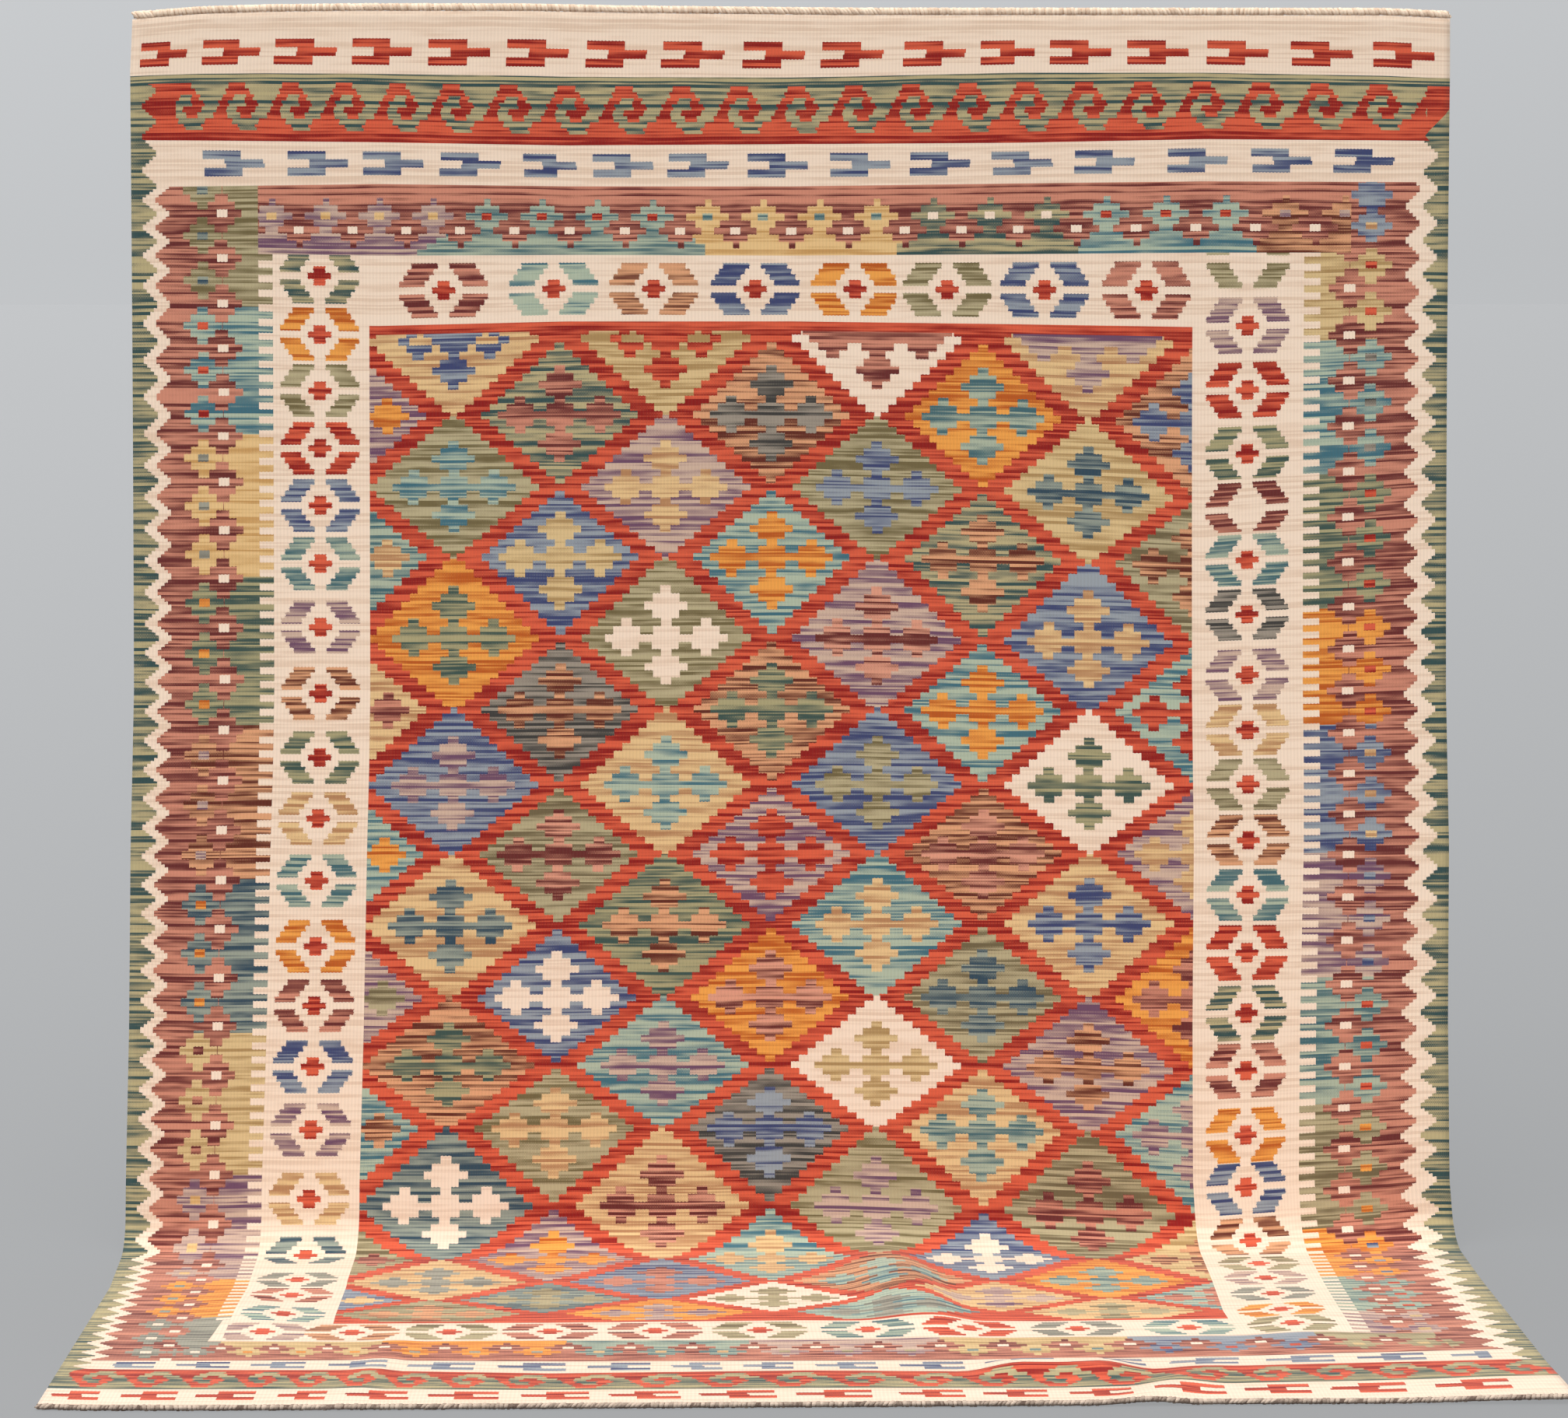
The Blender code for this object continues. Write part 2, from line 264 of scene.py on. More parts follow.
# The forked arrows of the end bands: where each begins at its left, across
RED_ARROWS = (
    -0.863, -0.782, -0.686, -0.583, -0.484, -0.378, -0.273, -0.173, -0.065,
    0.039, 0.147, 0.249, 0.341, 0.445, 0.552, 0.665, 0.775,
)  # fmt: skip
BLUE_ARROWS = (
    -0.780, -0.671, -0.571, -0.467, -0.356, -0.266, -0.164, -0.058,
    0.050, 0.156, 0.266, 0.376, 0.499, 0.613, 0.723,
)  # fmt: skip
LOW_BLUE_ARROWS = (
    -0.842, -0.742, -0.653, -0.563, -0.468, -0.363, -0.257, -0.157, -0.073,
    0.012, 0.110, 0.212, 0.318, 0.431, 0.547, 0.655, 0.769,
)  # fmt: skip
LOW_RED_ARROWS = (
    -0.867, -0.788, -0.700, -0.608, -0.529, -0.434, -0.329, -0.227, -0.123,
    -0.012, 0.105, 0.203, 0.301, 0.398, 0.504, 0.604, 0.725,
)  # fmt: skip
ARROW_BANDS = (  # arrows, their top, height, longest length, room between them, fork, lines of the band, yarn
    (RED_ARROWS, 0.036, 0.0345, 0.082, 0.020, "left", (0.0, HEADER_TOP), "red"),
    (BLUE_ARROWS, 0.182, 0.0320, 0.080, 0.020, "left", (BASE_END, FLOWERS_TOP), "royal"),
    (LOW_BLUE_ARROWS, 2.1925, 0.0301, 0.082, 0.026, "right", (LOW_FLOWERS_END, LOW_BASE_TOP), "royal"),
    (LOW_RED_ARROWS, 2.3110, 0.0340, 0.087, 0.024, "right", (LOW_HEADER_END, END), "red"),
)
OUTER_BARS_END, MIDDLE_BAR_START = 0.63, 0.36  # shares of an arrow's length

# The running hooks: the red spans of each of their eight rows, as shares of one hook's pitch
HOOK_ROWS = 8
FULL_HOOKS = ((0.55, 22.45), (-1.0, 24.0))  # counts past which the upper and lower bands are plain red
HOOK_SPANS = (  # row, from, to
    (0, 0.51, 0.82), (1, 0.455, 0.895), (2, 0.394, 0.603), (2, 0.82, 0.97), (3, 0.326, 0.505),
    (3, 0.82, 1.05), (4, 0.28, 0.465), (4, 0.65, 1.00), (5, 0.22, 0.48), (5, 0.72, 0.926),
    (6, 0.065, 0.572), (7, 0.00, 0.68),
)  # fmt: skip
# The hooks along the upper and the lower band: across, count of hooks
TOP_HOOKS = (
    (-0.8765, -0.32), (-0.734, 1.68), (-0.4507, 5.68), (-0.0685, 10.68), (0.3118, 15.68), (0.7832, 21.68),
    (0.8765, 22.86),
)  # fmt: skip
LOW_HOOKS = (
    (-0.894, -0.32), (-0.636, 3.68), (-0.464, 6.68), (-0.332, 8.68), (-0.018, 12.68), (0.142, 14.68),
    (0.367, 17.68), (0.465, 18.68), (0.840, 23.68), (0.917, 24.68),
)  # fmt: skip

# The toothed edges: a tooth's start and reach from the selvedge in millimetres, its rows, and the cream by it
TOOTH_START, TOOTH_REACH, TOOTH_ROWS = 12.3, 22.0, 10.0
TOOTH_CREAMS = (16.1, 22.7)
EDGE_STRETCH = 1.037  # how much closer to the selvedge the weave's edge lines lie than in that measure

# Repeats of the side borders: along, count of repeats
LEFT_TEETH = (
    (0.083, -3), (0.206, 0), (0.361, 4), (0.557, 8), (0.811, 14), (1.046, 20), (1.277, 26), (1.597, 34),
    (1.728, 37), (1.816, 39), (1.896, 41), (1.987, 43), (2.062, 45), (2.149, 47), (2.270, 50.6),
)  # fmt: skip
RIGHT_TEETH = (
    (0.103, -2), (0.190, 0), (0.415, 5), (0.586, 9), (0.762, 13), (0.971, 18), (1.229, 24), (1.405, 28),
    (1.646, 34), (1.681, 35), (1.773, 37), (1.870, 39), (1.956, 41), (2.043, 43), (2.139, 45),
    (2.270, 47.8),
)  # fmt: skip
LEFT_FLOWERS = (
    (0.232, -1), (0.295, 0), (0.589, 5), (0.783, 8), (0.988, 11), (1.189, 14), (1.385, 17), (1.619, 20.5),
    (1.653, 21), (1.717, 21.5), (1.757, 22), (1.823, 23), (1.953, 25), (2.081, 27), (2.147, 28),
    (2.20, 28.8),
)  # fmt: skip
RIGHT_FLOWERS = (
    (0.222, -0.67), (0.243, -1), (0.264, -1.34), (0.284, -1), (0.334, 0), (0.603, 4.5), (0.787, 7.5),
    (0.959, 10.5), (1.125, 13.5), (1.299, 16.5), (1.627, 22.5), (1.774, 25), (1.953, 28), (2.035, 29.5),
    (2.149, 31), (2.20, 31.8),
)  # fmt: skip
SIDE_FLOWERS = ((-0.7827, 0.0093), (0.7740, -0.0102))  # middle of the flowers, across, and one step of them
SIDE_HALF, SIDE_ROSE = 2.75, 2.85  # half-width of a flower, and how far off the rose ones lie, in steps
SIDE_ROWS = 6.0  # rows from one flower to the next
COMB_PITCHES = (0.0187, 0.0180)  # from one tooth of the comb to the next, left and right
COMB_CORNER_TOP, COMB_CORNER_OUT = 1.999, -0.732  # the left comb runs on in its corner,
COMB_CORNER_EDGE, COMB_CORNER_SLANT = 0.699, 0.08  # whose ground ends on a slant
LEFT_GROUPS = (  # end of the group, along, its yarn and the yarn of its middles
    (0.389, "olive", "petrol"), (0.559, "turquoise", "red"), (0.748, "gold", "grey"),
    (0.948, "deep_green", "orange"), (1.153, "brown", "lilac"), (1.359, "petrol", "orange"),
    (1.554, "khaki", "rose"), (1.789, "lilac", "gold"), (1.987, "orange", "petrol"),
    (2.400, "grey", "cream"),
)  # fmt: skip
RIGHT_GROUPS = (
    (0.262, "royal", "royal"), (0.312, "royal", "sand"), (0.429, "khaki", "red"),
    (0.608, "turquoise", "charcoal"), (0.787, "deep_green", "red"), (0.951, "orange", "red"),
    (1.120, "royal", "sand"), (1.290, "lilac", "royal"), (1.460, "teal", "red"), (1.626, "sage", "orange"),
    (1.793, "orange", "royal"), (1.990, "teal", "red"), (2.092, "lilac", "khaki"), (2.400, "sage", "khaki"),
)  # fmt: skip
PLAIN_GROUND_END = 0.316  # above it, the right border has no ground but rose
PLAIN_MARK = 100.0

# Repeats of the level borders: across, count of coloured flowers from the first
TOP_FLOWERS = ((-0.765, -1), (-0.690, 0), (-0.405, 4), (-0.038, 9), (0.340, 14), (0.739, 19), (0.815, 20))
TOP_GROUPS = (  # end of the group in flowers, its yarn, the yarn of its middles, shift of its lower end
    (3.5, "lilac", "gold", -0.85), (7.5, "teal", "red", 0.5), (11.5, "gold", "teal", -0.1),
    (14.5, "green", "cream", 0.1), (17.5, "turquoise", "red", 0.0), (25.0, "brown", "lilac", 0.0),
)  # fmt: skip
LOW_FLOWERS = (
    (-0.788, -1), (-0.721, 0), (-0.531, 3), (-0.389, 5), (-0.022, 10), (0.353, 15), (0.437, 16),
    (0.755, 20), (0.835, 21),
)  # fmt: skip
LOW_GROUPS = (
    (0.5, "grey", "cream", 0.0), (3.5, "khaki", "orange", 0.0), (6.5, "orange", "grey", 0.0),
    (9.5, "teal", "sand", 0.0), (12.5, "lilac", "sage", 0.0), (15.5, "khaki", "teal", 0.0),
    (18.5, "royal", "red", 0.0), (25.0, "sage", "khaki", 0.0),
)  # fmt: skip
LEVEL_STEPS = 6.1  # steps from one coloured flower to the next
LEVEL_ROWS, FIRST_ROW = 9.9, 4.4  # rows of a level border, and those before its coloured flowers' middles
LEVEL_HALF = 2.35  # half-width of a flower at its middle, in steps
TOP_BORDER_SIDES = (-0.709, 0.7465)
LOW_BORDER_SIDES = (-0.745, 0.780)

# Corners where the green edge widens: along, its width in millimetres
TOP_RIGHT_CORNER = (
    (0.128, 0.0), (0.137, 9.5), (0.145, 16.0), (0.152, 24.0), (0.168, 36.0), (0.169, 26.0), (0.172, 26.0),
)  # fmt: skip
LOW_LEFT_CORNER = ((2.225, 30.0), (2.236, 30.0), (2.240, 15.0), (2.300, 15.0))
LOW_RIGHT_CORNER = ((2.225, 33.0), (2.2665, 15.0), (2.2675, 0.0), (2.300, 0.0))

# Kinds of area on the rug
PLAIN, DIAMONDS, HEXAGONS, ARROWS, HOOKS, TEETH, SIDE_BORDER, LEVEL_BORDER, COMB = range(9)


def column(table, index):
    """One column of a table, as an array."""
    return np.array([row[index] for row in table])


def along_table(table, where, index):
    """The value in one column of a table at a place given in its first column, read along straight lines."""
    return np.interp(where, column(table, 0), column(table, index))


def mound(distance):
    """A smooth mound: 1 at a distance of 0, and 0 with no slope from a distance of 1."""
    near = np.clip(np.abs(distance), 0.0, 1.0)
    return 0.5 + 0.5 * np.cos(math.pi * near)


def fall_lengths():
    """The lengths of cloth where it begins to bend, where it touches the floor, and where it ends."""
    lean = math.radians(LEAN_ANGLE)
    drop = FLOOR_DROP - UPPER_ROLL_WIDTH - PIECE_GAP
    hang_radius = (drop - BEND_RADIUS * (1 - math.sin(lean))) / math.sin(lean)
    bend_start = hang_radius * lean
    bend_end = bend_start + BEND_RADIUS * (math.pi / 2 - lean)
    touch = hang_radius * (1 - math.cos(lean)) + BEND_RADIUS * math.cos(lean)
    end = bend_end + FLOOR_REACH - LOWER_ROLL_WIDTH - PIECE_GAP - touch
    return hang_radius, bend_start, bend_end, end


def fall(length):
    """The side profile of the cloth's back: forward reach, height and turn from vertical at each length.

    The hanging part is an arc of a very large circle, then comes the tight arc of the bend, then a level run.
    """
    lean = math.radians(LEAN_ANGLE)
    hang_radius, bend_start, bend_end, _ = fall_lengths()
    hang = np.clip(length, 0, bend_start) / hang_radius
    bend = lean + (np.clip(length, bend_start, bend_end) - bend_start) / BEND_RADIUS
    run = np.clip(length - bend_end, 0, None)
    forward = hang_radius * (1 - np.cos(hang)) + BEND_RADIUS * (math.cos(lean) - np.cos(bend)) + run
    down = hang_radius * np.sin(hang) + BEND_RADIUS * (np.sin(bend) - math.sin(lean))
    turn = np.where(length < bend_start, hang, bend)
    return forward, -UPPER_ROLL_WIDTH - PIECE_GAP - down, turn


def stand_off(side, length):
    """How far the cloth stands off its plain profile, at a place across and a length along the cloth."""
    height = np.zeros(np.broadcast(side, length).shape)
    for middle, along, half_length, left, right, heading, top in RIDGES:
        angle = math.radians(heading)
        across = (side - middle) * math.cos(angle) - (length - along) * math.sin(angle)
        down = (side - middle) * math.sin(angle) + (length - along) * math.cos(angle)
        width = np.where(across < 0, left, right)
        height += top * mound(across / width) * mound(down / half_length)
    from_edge = np.clip(fall_lengths()[3] - LEVEL_EDGE - length, 0, None)
    for middle, half_width, reach, top in EDGE_LIFTS:
        height += top * mound((side - middle) / half_width) * mound(from_edge / reach)
    return height


def cloth_back(across, length):
    """A point on the back of the cloth: across runs from -1 at the left selvedge to 1 at the right one."""
    _, _, bend_end, end = fall_lengths()
    share = length / end
    left = along_table(SELVEDGES, share, 1)
    right = along_table(SELVEDGES, share, 2)
    side = (right - left) / 2 + across * (right + left) / 2
    forward, up, turn = fall(length)
    sag = along_table(HANGING_EDGE, across, 1) * np.clip(1 - length / SAG_FADE, 0, 1)
    lying = np.clip((length - bend_end) / (end - bend_end), 0, 1)
    back = along_table(FRONT_EDGE, across, 1) * lying**2
    off = stand_off(side, length)
    depth = -forward - off * np.cos(turn) + back
    height = up - sag + off * np.sin(turn)
    return np.stack(np.broadcast_arrays(side, depth, height), axis=-1)


def strays(places, lines, across, along):
    """How far the weave strays, as rows of `along` by columns of `across`, read between a table's places."""
    marks = column(lines, 0)
    known = np.stack([np.interp(across, places, row[1:]) for row in lines]) / 1000
    below = np.clip(np.searchsorted(marks, along, side="right") - 1, 0, len(marks) - 2)
    part = ((along - marks[below]) / (marks[below + 1] - marks[below]))[:, None]
    return known[below] * (1 - part) + known[below + 1] * part


def cloth_points(across, along):
    """Points on the back of the cloth for rows of `along` by columns of `across`, both in weave places."""
    end = fall_lengths()[3]
    lengths = np.clip((along[:, None] + strays(WEFT_PLACES, WEFT_LINES, across, along)) * end / END, 0, end)
    return cloth_back((across + strays(WARP_PLACES, WARP_LINES, across, along)) / HALF_WIDTH, lengths)


def stations(marks, pitches):
    """Places from the first mark to the last: one at every mark, and no step longer than the pitch there."""
    spans = []
    for start, stop, pitch in zip(marks, marks[1:], pitches):
        spans.append(np.linspace(start, stop, max(1, math.ceil((stop - start) / pitch - 1e-6)) + 1)[:-1])
    return np.append(np.concatenate(spans), marks[-1])


def linear(tone):
    """A tone given as 0 to 255 on a screen, as the light it stands for."""
    share = np.array(tone) / 255
    return np.where(share < 0.04045, share / 12.92, ((share + 0.055) / 1.055) ** 2.4)


def yarn(name):
    """The number of a yarn."""
    return YARN_NUMBERS[name.replace("_", " ")]


class Chart:
    """The weaver's chart: what each face of the cloth's grid belongs to, and its place in its own motif.

    kind is the kind of area, yarns the three yarns of its motif, seed a number for each separate area, and
    motif the place of each corner in the motif's own steps and rows.
    """

    def __init__(self, across, along):
        left, top = np.meshgrid(across[:-1], along[:-1])
        right, low = np.meshgrid(across[1:], along[1:])
        self.across = np.stack([left, left, right, right], axis=-1).reshape(-1, 4)
        self.along = np.stack([top, low, low, top], axis=-1).reshape(-1, 4)
        self.side = self.across.mean(axis=1)
        self.down = self.along.mean(axis=1)
        count = len(self.side)
        self.kind = np.zeros(count)
        self.seed = np.zeros(count)
        self.yarns = np.zeros((count, 3), int)
        self.motif = np.zeros((count, 4, 3))

    def within(self, sides, downs):
        """The faces between two places across and two along."""
        beside = (self.side > sides[0]) & (self.side < sides[1])
        return beside & (self.down > downs[0]) & (self.down < downs[1])

    def fill(self, chosen, kind, yarns, seed, x=0.0, y=0.0, size=0.0):
        """Gives the chosen faces their kind, yarns, seed and motif places."""
        self.kind[chosen] = kind
        shape = (len(self.side), 3)
        self.yarns[chosen] = np.broadcast_to(np.asarray(yarns), shape)[chosen]
        self.seed[chosen] = np.broadcast_to(seed, len(self.side))[chosen]
        for axis, value in enumerate((x, y, size)):
            self.motif[chosen, :, axis] = np.broadcast_to(value, self.across.shape)[chosen]


def chart_field(chart):
    """The field: rows of stepped diamonds, each with a figure of five small ones, between red bands.

    A face belongs to the diamond whose middle is nearest, counted in rows plus steps.
    """
    alongs = column(FIELD_ROWS, 0).astype(float)
    gaps = np.diff(alongs) / FIELD_GAP
    above, below = np.append(gaps[0], gaps), np.append(gaps, gaps[-1])
    found = []
    for number, row in enumerate(FIELD_ROWS):
        for place, names in enumerate(row[1:]):
            middle = FIELD_MIDDLES[number % 2] + place * FIELD_PITCH * FIELD_STEP
            ground, figure = [yarn(name) for name in names.split()]
            mark = (TOP_MARK if place < 2 else 2 * TOP_MARK) if number == 0 else 0.0
            heights = above[number], below[number]
            found.append((middle, alongs[number], *heights, ground, figure, number % 2, mark))
    found = np.array(found)
    off = chart.down[:, None] - found[:, 1]
    rows = np.abs(off) / np.where(off < 0, found[:, 2], found[:, 3])
    steps = np.abs(chart.side[:, None] - found[:, 0]) / FIELD_STEP
    chosen = (rows + steps + found[:, 6] * ODD_LOSS).argmin(axis=1)
    middle, along, above, below, ground, figure, odd, mark = found[chosen].T[:, :, None]
    yarns = np.column_stack([ground, figure, np.full(len(ground), yarn("red"))]).astype(int)
    x = (chart.across - middle) / FIELD_STEP
    off = chart.along - along
    y = off / np.where(off < 0, above, below)
    inside = chart.within(FIELD_SIDES, (FIELD_TOP, FIELD_END))
    chart.fill(inside, DIAMONDS, yarns, chosen + 1.0, x, y, DIAMOND_HALF - ODD_LOSS * odd + mark)


def chart_hexagons(chart):
    """The ring of hexagons on cream: four stepped wings round a small red cross, placed in millimetres."""
    upright = (FLOWERS_END, LOW_FRAME_END)
    rows = (  # hexagons, sides and lines of the band
        (LEFT_HEXAGONS, (COMBS_IN[0], FIELD_SIDES[0]), upright),
        (RIGHT_HEXAGONS, (FIELD_SIDES[1], COMBS_IN[1]), upright),
        (TOP_HEXAGONS, FIELD_SIDES, (FLOWERS_END, FRAME_LINE)),
        (LOW_HEXAGONS, (COMBS_IN[0], COMBS_IN[1]), (LOW_FRAME_END, LOW_FLOWERS_TOP)),
    )
    for number, (hexagons, sides, lines) in enumerate(rows):
        places = column(hexagons, 0).astype(float)
        wings = np.array([yarn(name) for _, name in hexagons])
        fixed = HEXAGON_SIDES[number] if number < 2 else HEXAGON_LINES[number - 2]
        running = chart.down if number < 2 else chart.side
        chosen = np.abs(running[:, None] - places).argmin(axis=1)
        place = places[chosen][:, None]
        across, along = (fixed, place) if number < 2 else (place, fixed)
        crosses = np.full(len(places), yarn("red"))
        if number == 1:
            crosses[np.isin(places, PLAIN_HEXAGONS)] = yarn("cream")
        yarns = np.column_stack([np.zeros(len(chosen), int), wings[chosen], crosses[chosen]])
        x, y = (chart.across - across) * 1000, (chart.along - along) * 1000
        seeds = 100 + chosen + 40 * number
        chart.fill(chart.within(sides, lines), HEXAGONS, yarns, seeds, x, y, HEXAGON_REACHES[number])


def chart_arrows(chart):
    """The end bands of cream with forked arrows: two bars, and a middle one set off to the other side."""
    for arrows, top, height, length, room, fork, lines, name in ARROW_BANDS:
        starts = np.array(arrows)
        lengths = np.minimum(length, np.append(np.diff(starts), 1.0) - room)
        chosen = np.abs(chart.side[:, None] - starts - lengths / 2).argmin(axis=1)
        sides = (-HALF_WIDTH, HALF_WIDTH) if name == "red" else EDGES
        x = (chart.across - starts[chosen][:, None]) / lengths[chosen][:, None]
        x = x if fork == "left" else 1 - x
        y = (chart.along - top) / height
        chart.fill(chart.within(sides, lines), ARROWS, (0, yarn(name), 0), 200 + chosen + 30 * top, x, y)


def chart_hooks(chart):
    """The bands of running hooks: red hooks on a red base, between a green header and the cream.

    The third number of the motif is the distance in from the green edge, in millimetres.
    """
    everywhere = (-HALF_WIDTH, HALF_WIDTH)
    green, red = yarn("green"), yarn("red")
    from_side = (HALF_WIDTH - np.abs(chart.across)) * 1000
    top_lines = HEADER_TOP, HOOKS_TOP, BASE_TOP, BASE_END
    low_lines = LOW_HEADER_END, LOW_HEADER_TOP, LOW_HOOKS_TOP, LOW_BASE_TOP
    for places, full, corners, (header, hooks, base, end) in (
        (TOP_HOOKS, FULL_HOOKS[0], (None, TOP_RIGHT_CORNER), top_lines),
        (LOW_HOOKS, FULL_HOOKS[1], (LOW_LEFT_CORNER, LOW_RIGHT_CORNER), low_lines),
    ):
        chart.fill(chart.within(everywhere, sorted((header, hooks))), PLAIN, green, 300)
        count = np.interp(chart.across, column(places, 0), column(places, 1))
        middle = np.interp(chart.side, column(places, 0), column(places, 1))
        row = (chart.along - hooks) / (base - hooks) * HOOK_ROWS
        filled = (middle < full[0]) | (middle > full[1])
        row = np.where(filled[:, None], HOOK_ROWS + 1.0, row)
        inside = np.full(chart.across.shape, 60.0)
        for sign, corner in zip((-1, 1), corners):
            if corner:
                wide = np.interp(chart.along, column(corner, 0), column(corner, 1))
                inside = np.where(chart.across * sign > 0, from_side - wide, inside)
        band = chart.within(everywhere, sorted((hooks, end)))
        chart.fill(band, HOOKS, (green, red, red), 300, count, row, inside)


def chart_edges(chart):
    """The toothed edge stripes: green from the selvedge, a zigzag band of cream, then the border's ground.

    The first number of the motif is the distance from the selvedge in millimetres, the second counts the
    teeth, and the third is the width of the cream.
    """
    green, red, cream, rose = yarn("green"), yarn("red"), yarn("cream"), yarn("rose")
    stripes = ((-HALF_WIDTH, EDGES[0]), (EDGES[1], HALF_WIDTH))
    for sides, places, wide in zip(stripes, (LEFT_TEETH, RIGHT_TEETH), TOOTH_CREAMS):
        x = (HALF_WIDTH - np.abs(chart.across)) * 1000 / EDGE_STRETCH
        y = np.interp(chart.along, column(places, 0), column(places, 1))
        for start, stop, inner, last in (
            (HOOKS_TOP if sides[0] < 0 else BASE_END, BASE_END, red, red),
            (BASE_END, FLOWERS_TOP, cream, cream),
            (FLOWERS_TOP, LOW_FLOWERS_END, cream, rose),
            (LOW_FLOWERS_END, LOW_BASE_TOP, cream, cream),
        ):
            chart.fill(chart.within(sides, (start, stop)), TEETH, (green, inner, last), 300, x, y, wide)


def group_of(groups, place, lower=0.0):
    """The two yarns of the group at each place. Its end shifts as `lower` goes from 0 to 1."""
    shifts = np.array([row[3] if len(row) > 3 else 0.0 for row in groups])
    ends = column(groups, 0).astype(float) + shifts * np.broadcast_to(lower, place.shape)[:, None]
    chosen = np.clip((place[:, None] > ends).sum(axis=1), 0, len(groups) - 1)
    numbers = np.array([(yarn(row[1]), yarn(row[2])) for row in groups])
    return numbers[chosen, 0], numbers[chosen, 1]


def chart_side_borders(chart):
    """The upright borders: coloured flowers on rose, rose flowers on the group's colour, and a comb of it."""
    rose = np.full(len(chart.side), yarn("rose"))
    cream = np.zeros(len(chart.side), int)
    for number, (places, groups) in enumerate(((LEFT_FLOWERS, LEFT_GROUPS), (RIGHT_FLOWERS, RIGHT_GROUPS))):
        middle, step = SIDE_FLOWERS[number]
        out, comb, inner = EDGES[number], COMBS_OUT[number], COMBS_IN[number]
        ground, centre = group_of(groups, chart.down)
        x = (chart.across - middle) / step
        y = np.interp(chart.along, column(places, 0), column(places, 1)) * SIDE_ROWS
        plain = np.where((chart.along < PLAIN_GROUND_END) & (number == 1), PLAIN_MARK, 0.0)
        inside = chart.within(sorted((out, comb)), (FLOWERS_TOP, LOW_FLOWERS_END))
        yarns = np.stack([rose, ground, centre], axis=-1)
        chart.fill(inside, SIDE_BORDER, yarns, 300, x, y, plain)
        strip = chart.within(sorted((comb, inner)), (FLOWERS_END, LOW_FLOWERS_TOP))
        yarns = np.stack([cream, ground, ground], axis=-1)
        chart.fill(strip, COMB, yarns, 300, 1.0, chart.along / COMB_PITCHES[number])
        if number == 0:
            corner = chart.within((COMB_CORNER_OUT, inner), (COMB_CORNER_TOP, LOW_FLOWERS_TOP))
            slant = chart.across + COMB_CORNER_EDGE + (chart.along - COMB_CORNER_TOP) * COMB_CORNER_SLANT
            chart.fill(corner, COMB, yarns, 300, slant * 100, 0.75)


def chart_level_borders(chart):
    """The level borders: coloured flowers on rose, and beyond them rose flowers on the group's colour."""
    rose = np.full(len(chart.side), yarn("rose"))
    for places, groups, top, bottom, sides in (
        (TOP_FLOWERS, TOP_GROUPS, FLOWERS_TOP, FLOWERS_END, TOP_BORDER_SIDES),
        (LOW_FLOWERS, LOW_GROUPS, LOW_FLOWERS_END, LOW_FLOWERS_TOP, LOW_BORDER_SIDES),
    ):
        count = np.interp(chart.across, column(places, 0), column(places, 1))
        middle = np.interp(chart.side, column(places, 0), column(places, 1))
        lower = np.clip((chart.down - top) / (bottom - top) * 2.2 - 1.2, 0, 1)
        ground, centre = group_of(groups, middle, lower)
        x = (count - np.rint(middle)[:, None]) * LEVEL_STEPS
        y = (chart.along - top) / (bottom - top) * LEVEL_ROWS - FIRST_ROW
        inside = chart.within(sides, sorted((top, bottom)))
        yarns = np.stack([rose, ground, centre], axis=-1)
        chart.fill(inside, LEVEL_BORDER, yarns, 300, x, y)


def rug_chart(across, along):
    """The whole chart of the rug, laid down from the ground up."""
    chart = Chart(across, along)
    chart_hexagons(chart)
    red = yarn("red")
    for sides, start, stop in ((FIELD_SIDES, FRAME_LINE, FIELD_TOP), (FIELD_SIDES, FIELD_END, LOW_FRAME_END)):
        chart.fill(chart.within(sides, (start, stop)), PLAIN, red, 60)
    chart_field(chart)
    chart_arrows(chart)
    chart_hooks(chart)
    chart_side_borders(chart)
    chart_level_borders(chart)
    chart_edges(chart)
    return chart


# ---- Meshes ------------------------------------------------------------------------------------------------


def grid_faces(rows, columns):
    """The quads of a grid of points that is stored row by row."""
    index = np.arange(rows * columns).reshape(rows, columns)
    corners = (index[:-1, :-1], index[1:, :-1], index[1:, 1:], index[:-1, 1:])
    return np.stack([corner.ravel() for corner in corners], axis=-1)


def new_mesh(name, points, faces):
    """A mesh of points and of faces that all have the same number of corners."""
    mesh = bpy.data.meshes.new(name)
    count, corners = faces.shape
    mesh.vertices.add(len(points))
    mesh.vertices.foreach_set("co", points.astype(np.float32).ravel())
    mesh.loops.add(count * corners)
    mesh.loops.foreach_set("vertex_index", faces.astype(np.int32).ravel())
    mesh.polygons.add(count)
    mesh.polygons.foreach_set("loop_start", np.arange(0, count * corners, corners, dtype=np.int32))
    mesh.update(calc_edges=True)
    mesh.shade_smooth()
    return mesh


def add_attribute(mesh, name, kind, domain, values):
    """Stores an array on a mesh as a named attribute."""
    field = {"FLOAT": "value", "FLOAT_VECTOR": "vector", "FLOAT_COLOR": "color"}[kind]
    made = mesh.attributes.new(name, kind, domain)
    made.data.foreach_set(field, np.ascontiguousarray(values, dtype=np.float32).ravel())


def add_object(name, mesh, material):
    """Links a mesh into the scene as an object in one material."""
    mesh.materials.append(material)
    made = bpy.data.objects.new(name, mesh)
    bpy.context.scene.collection.objects.link(made)
    return made


FIELD_PITCHES = (1.35, 1.6)  # steps of the grid across as shares of those along: in the borders, in the field


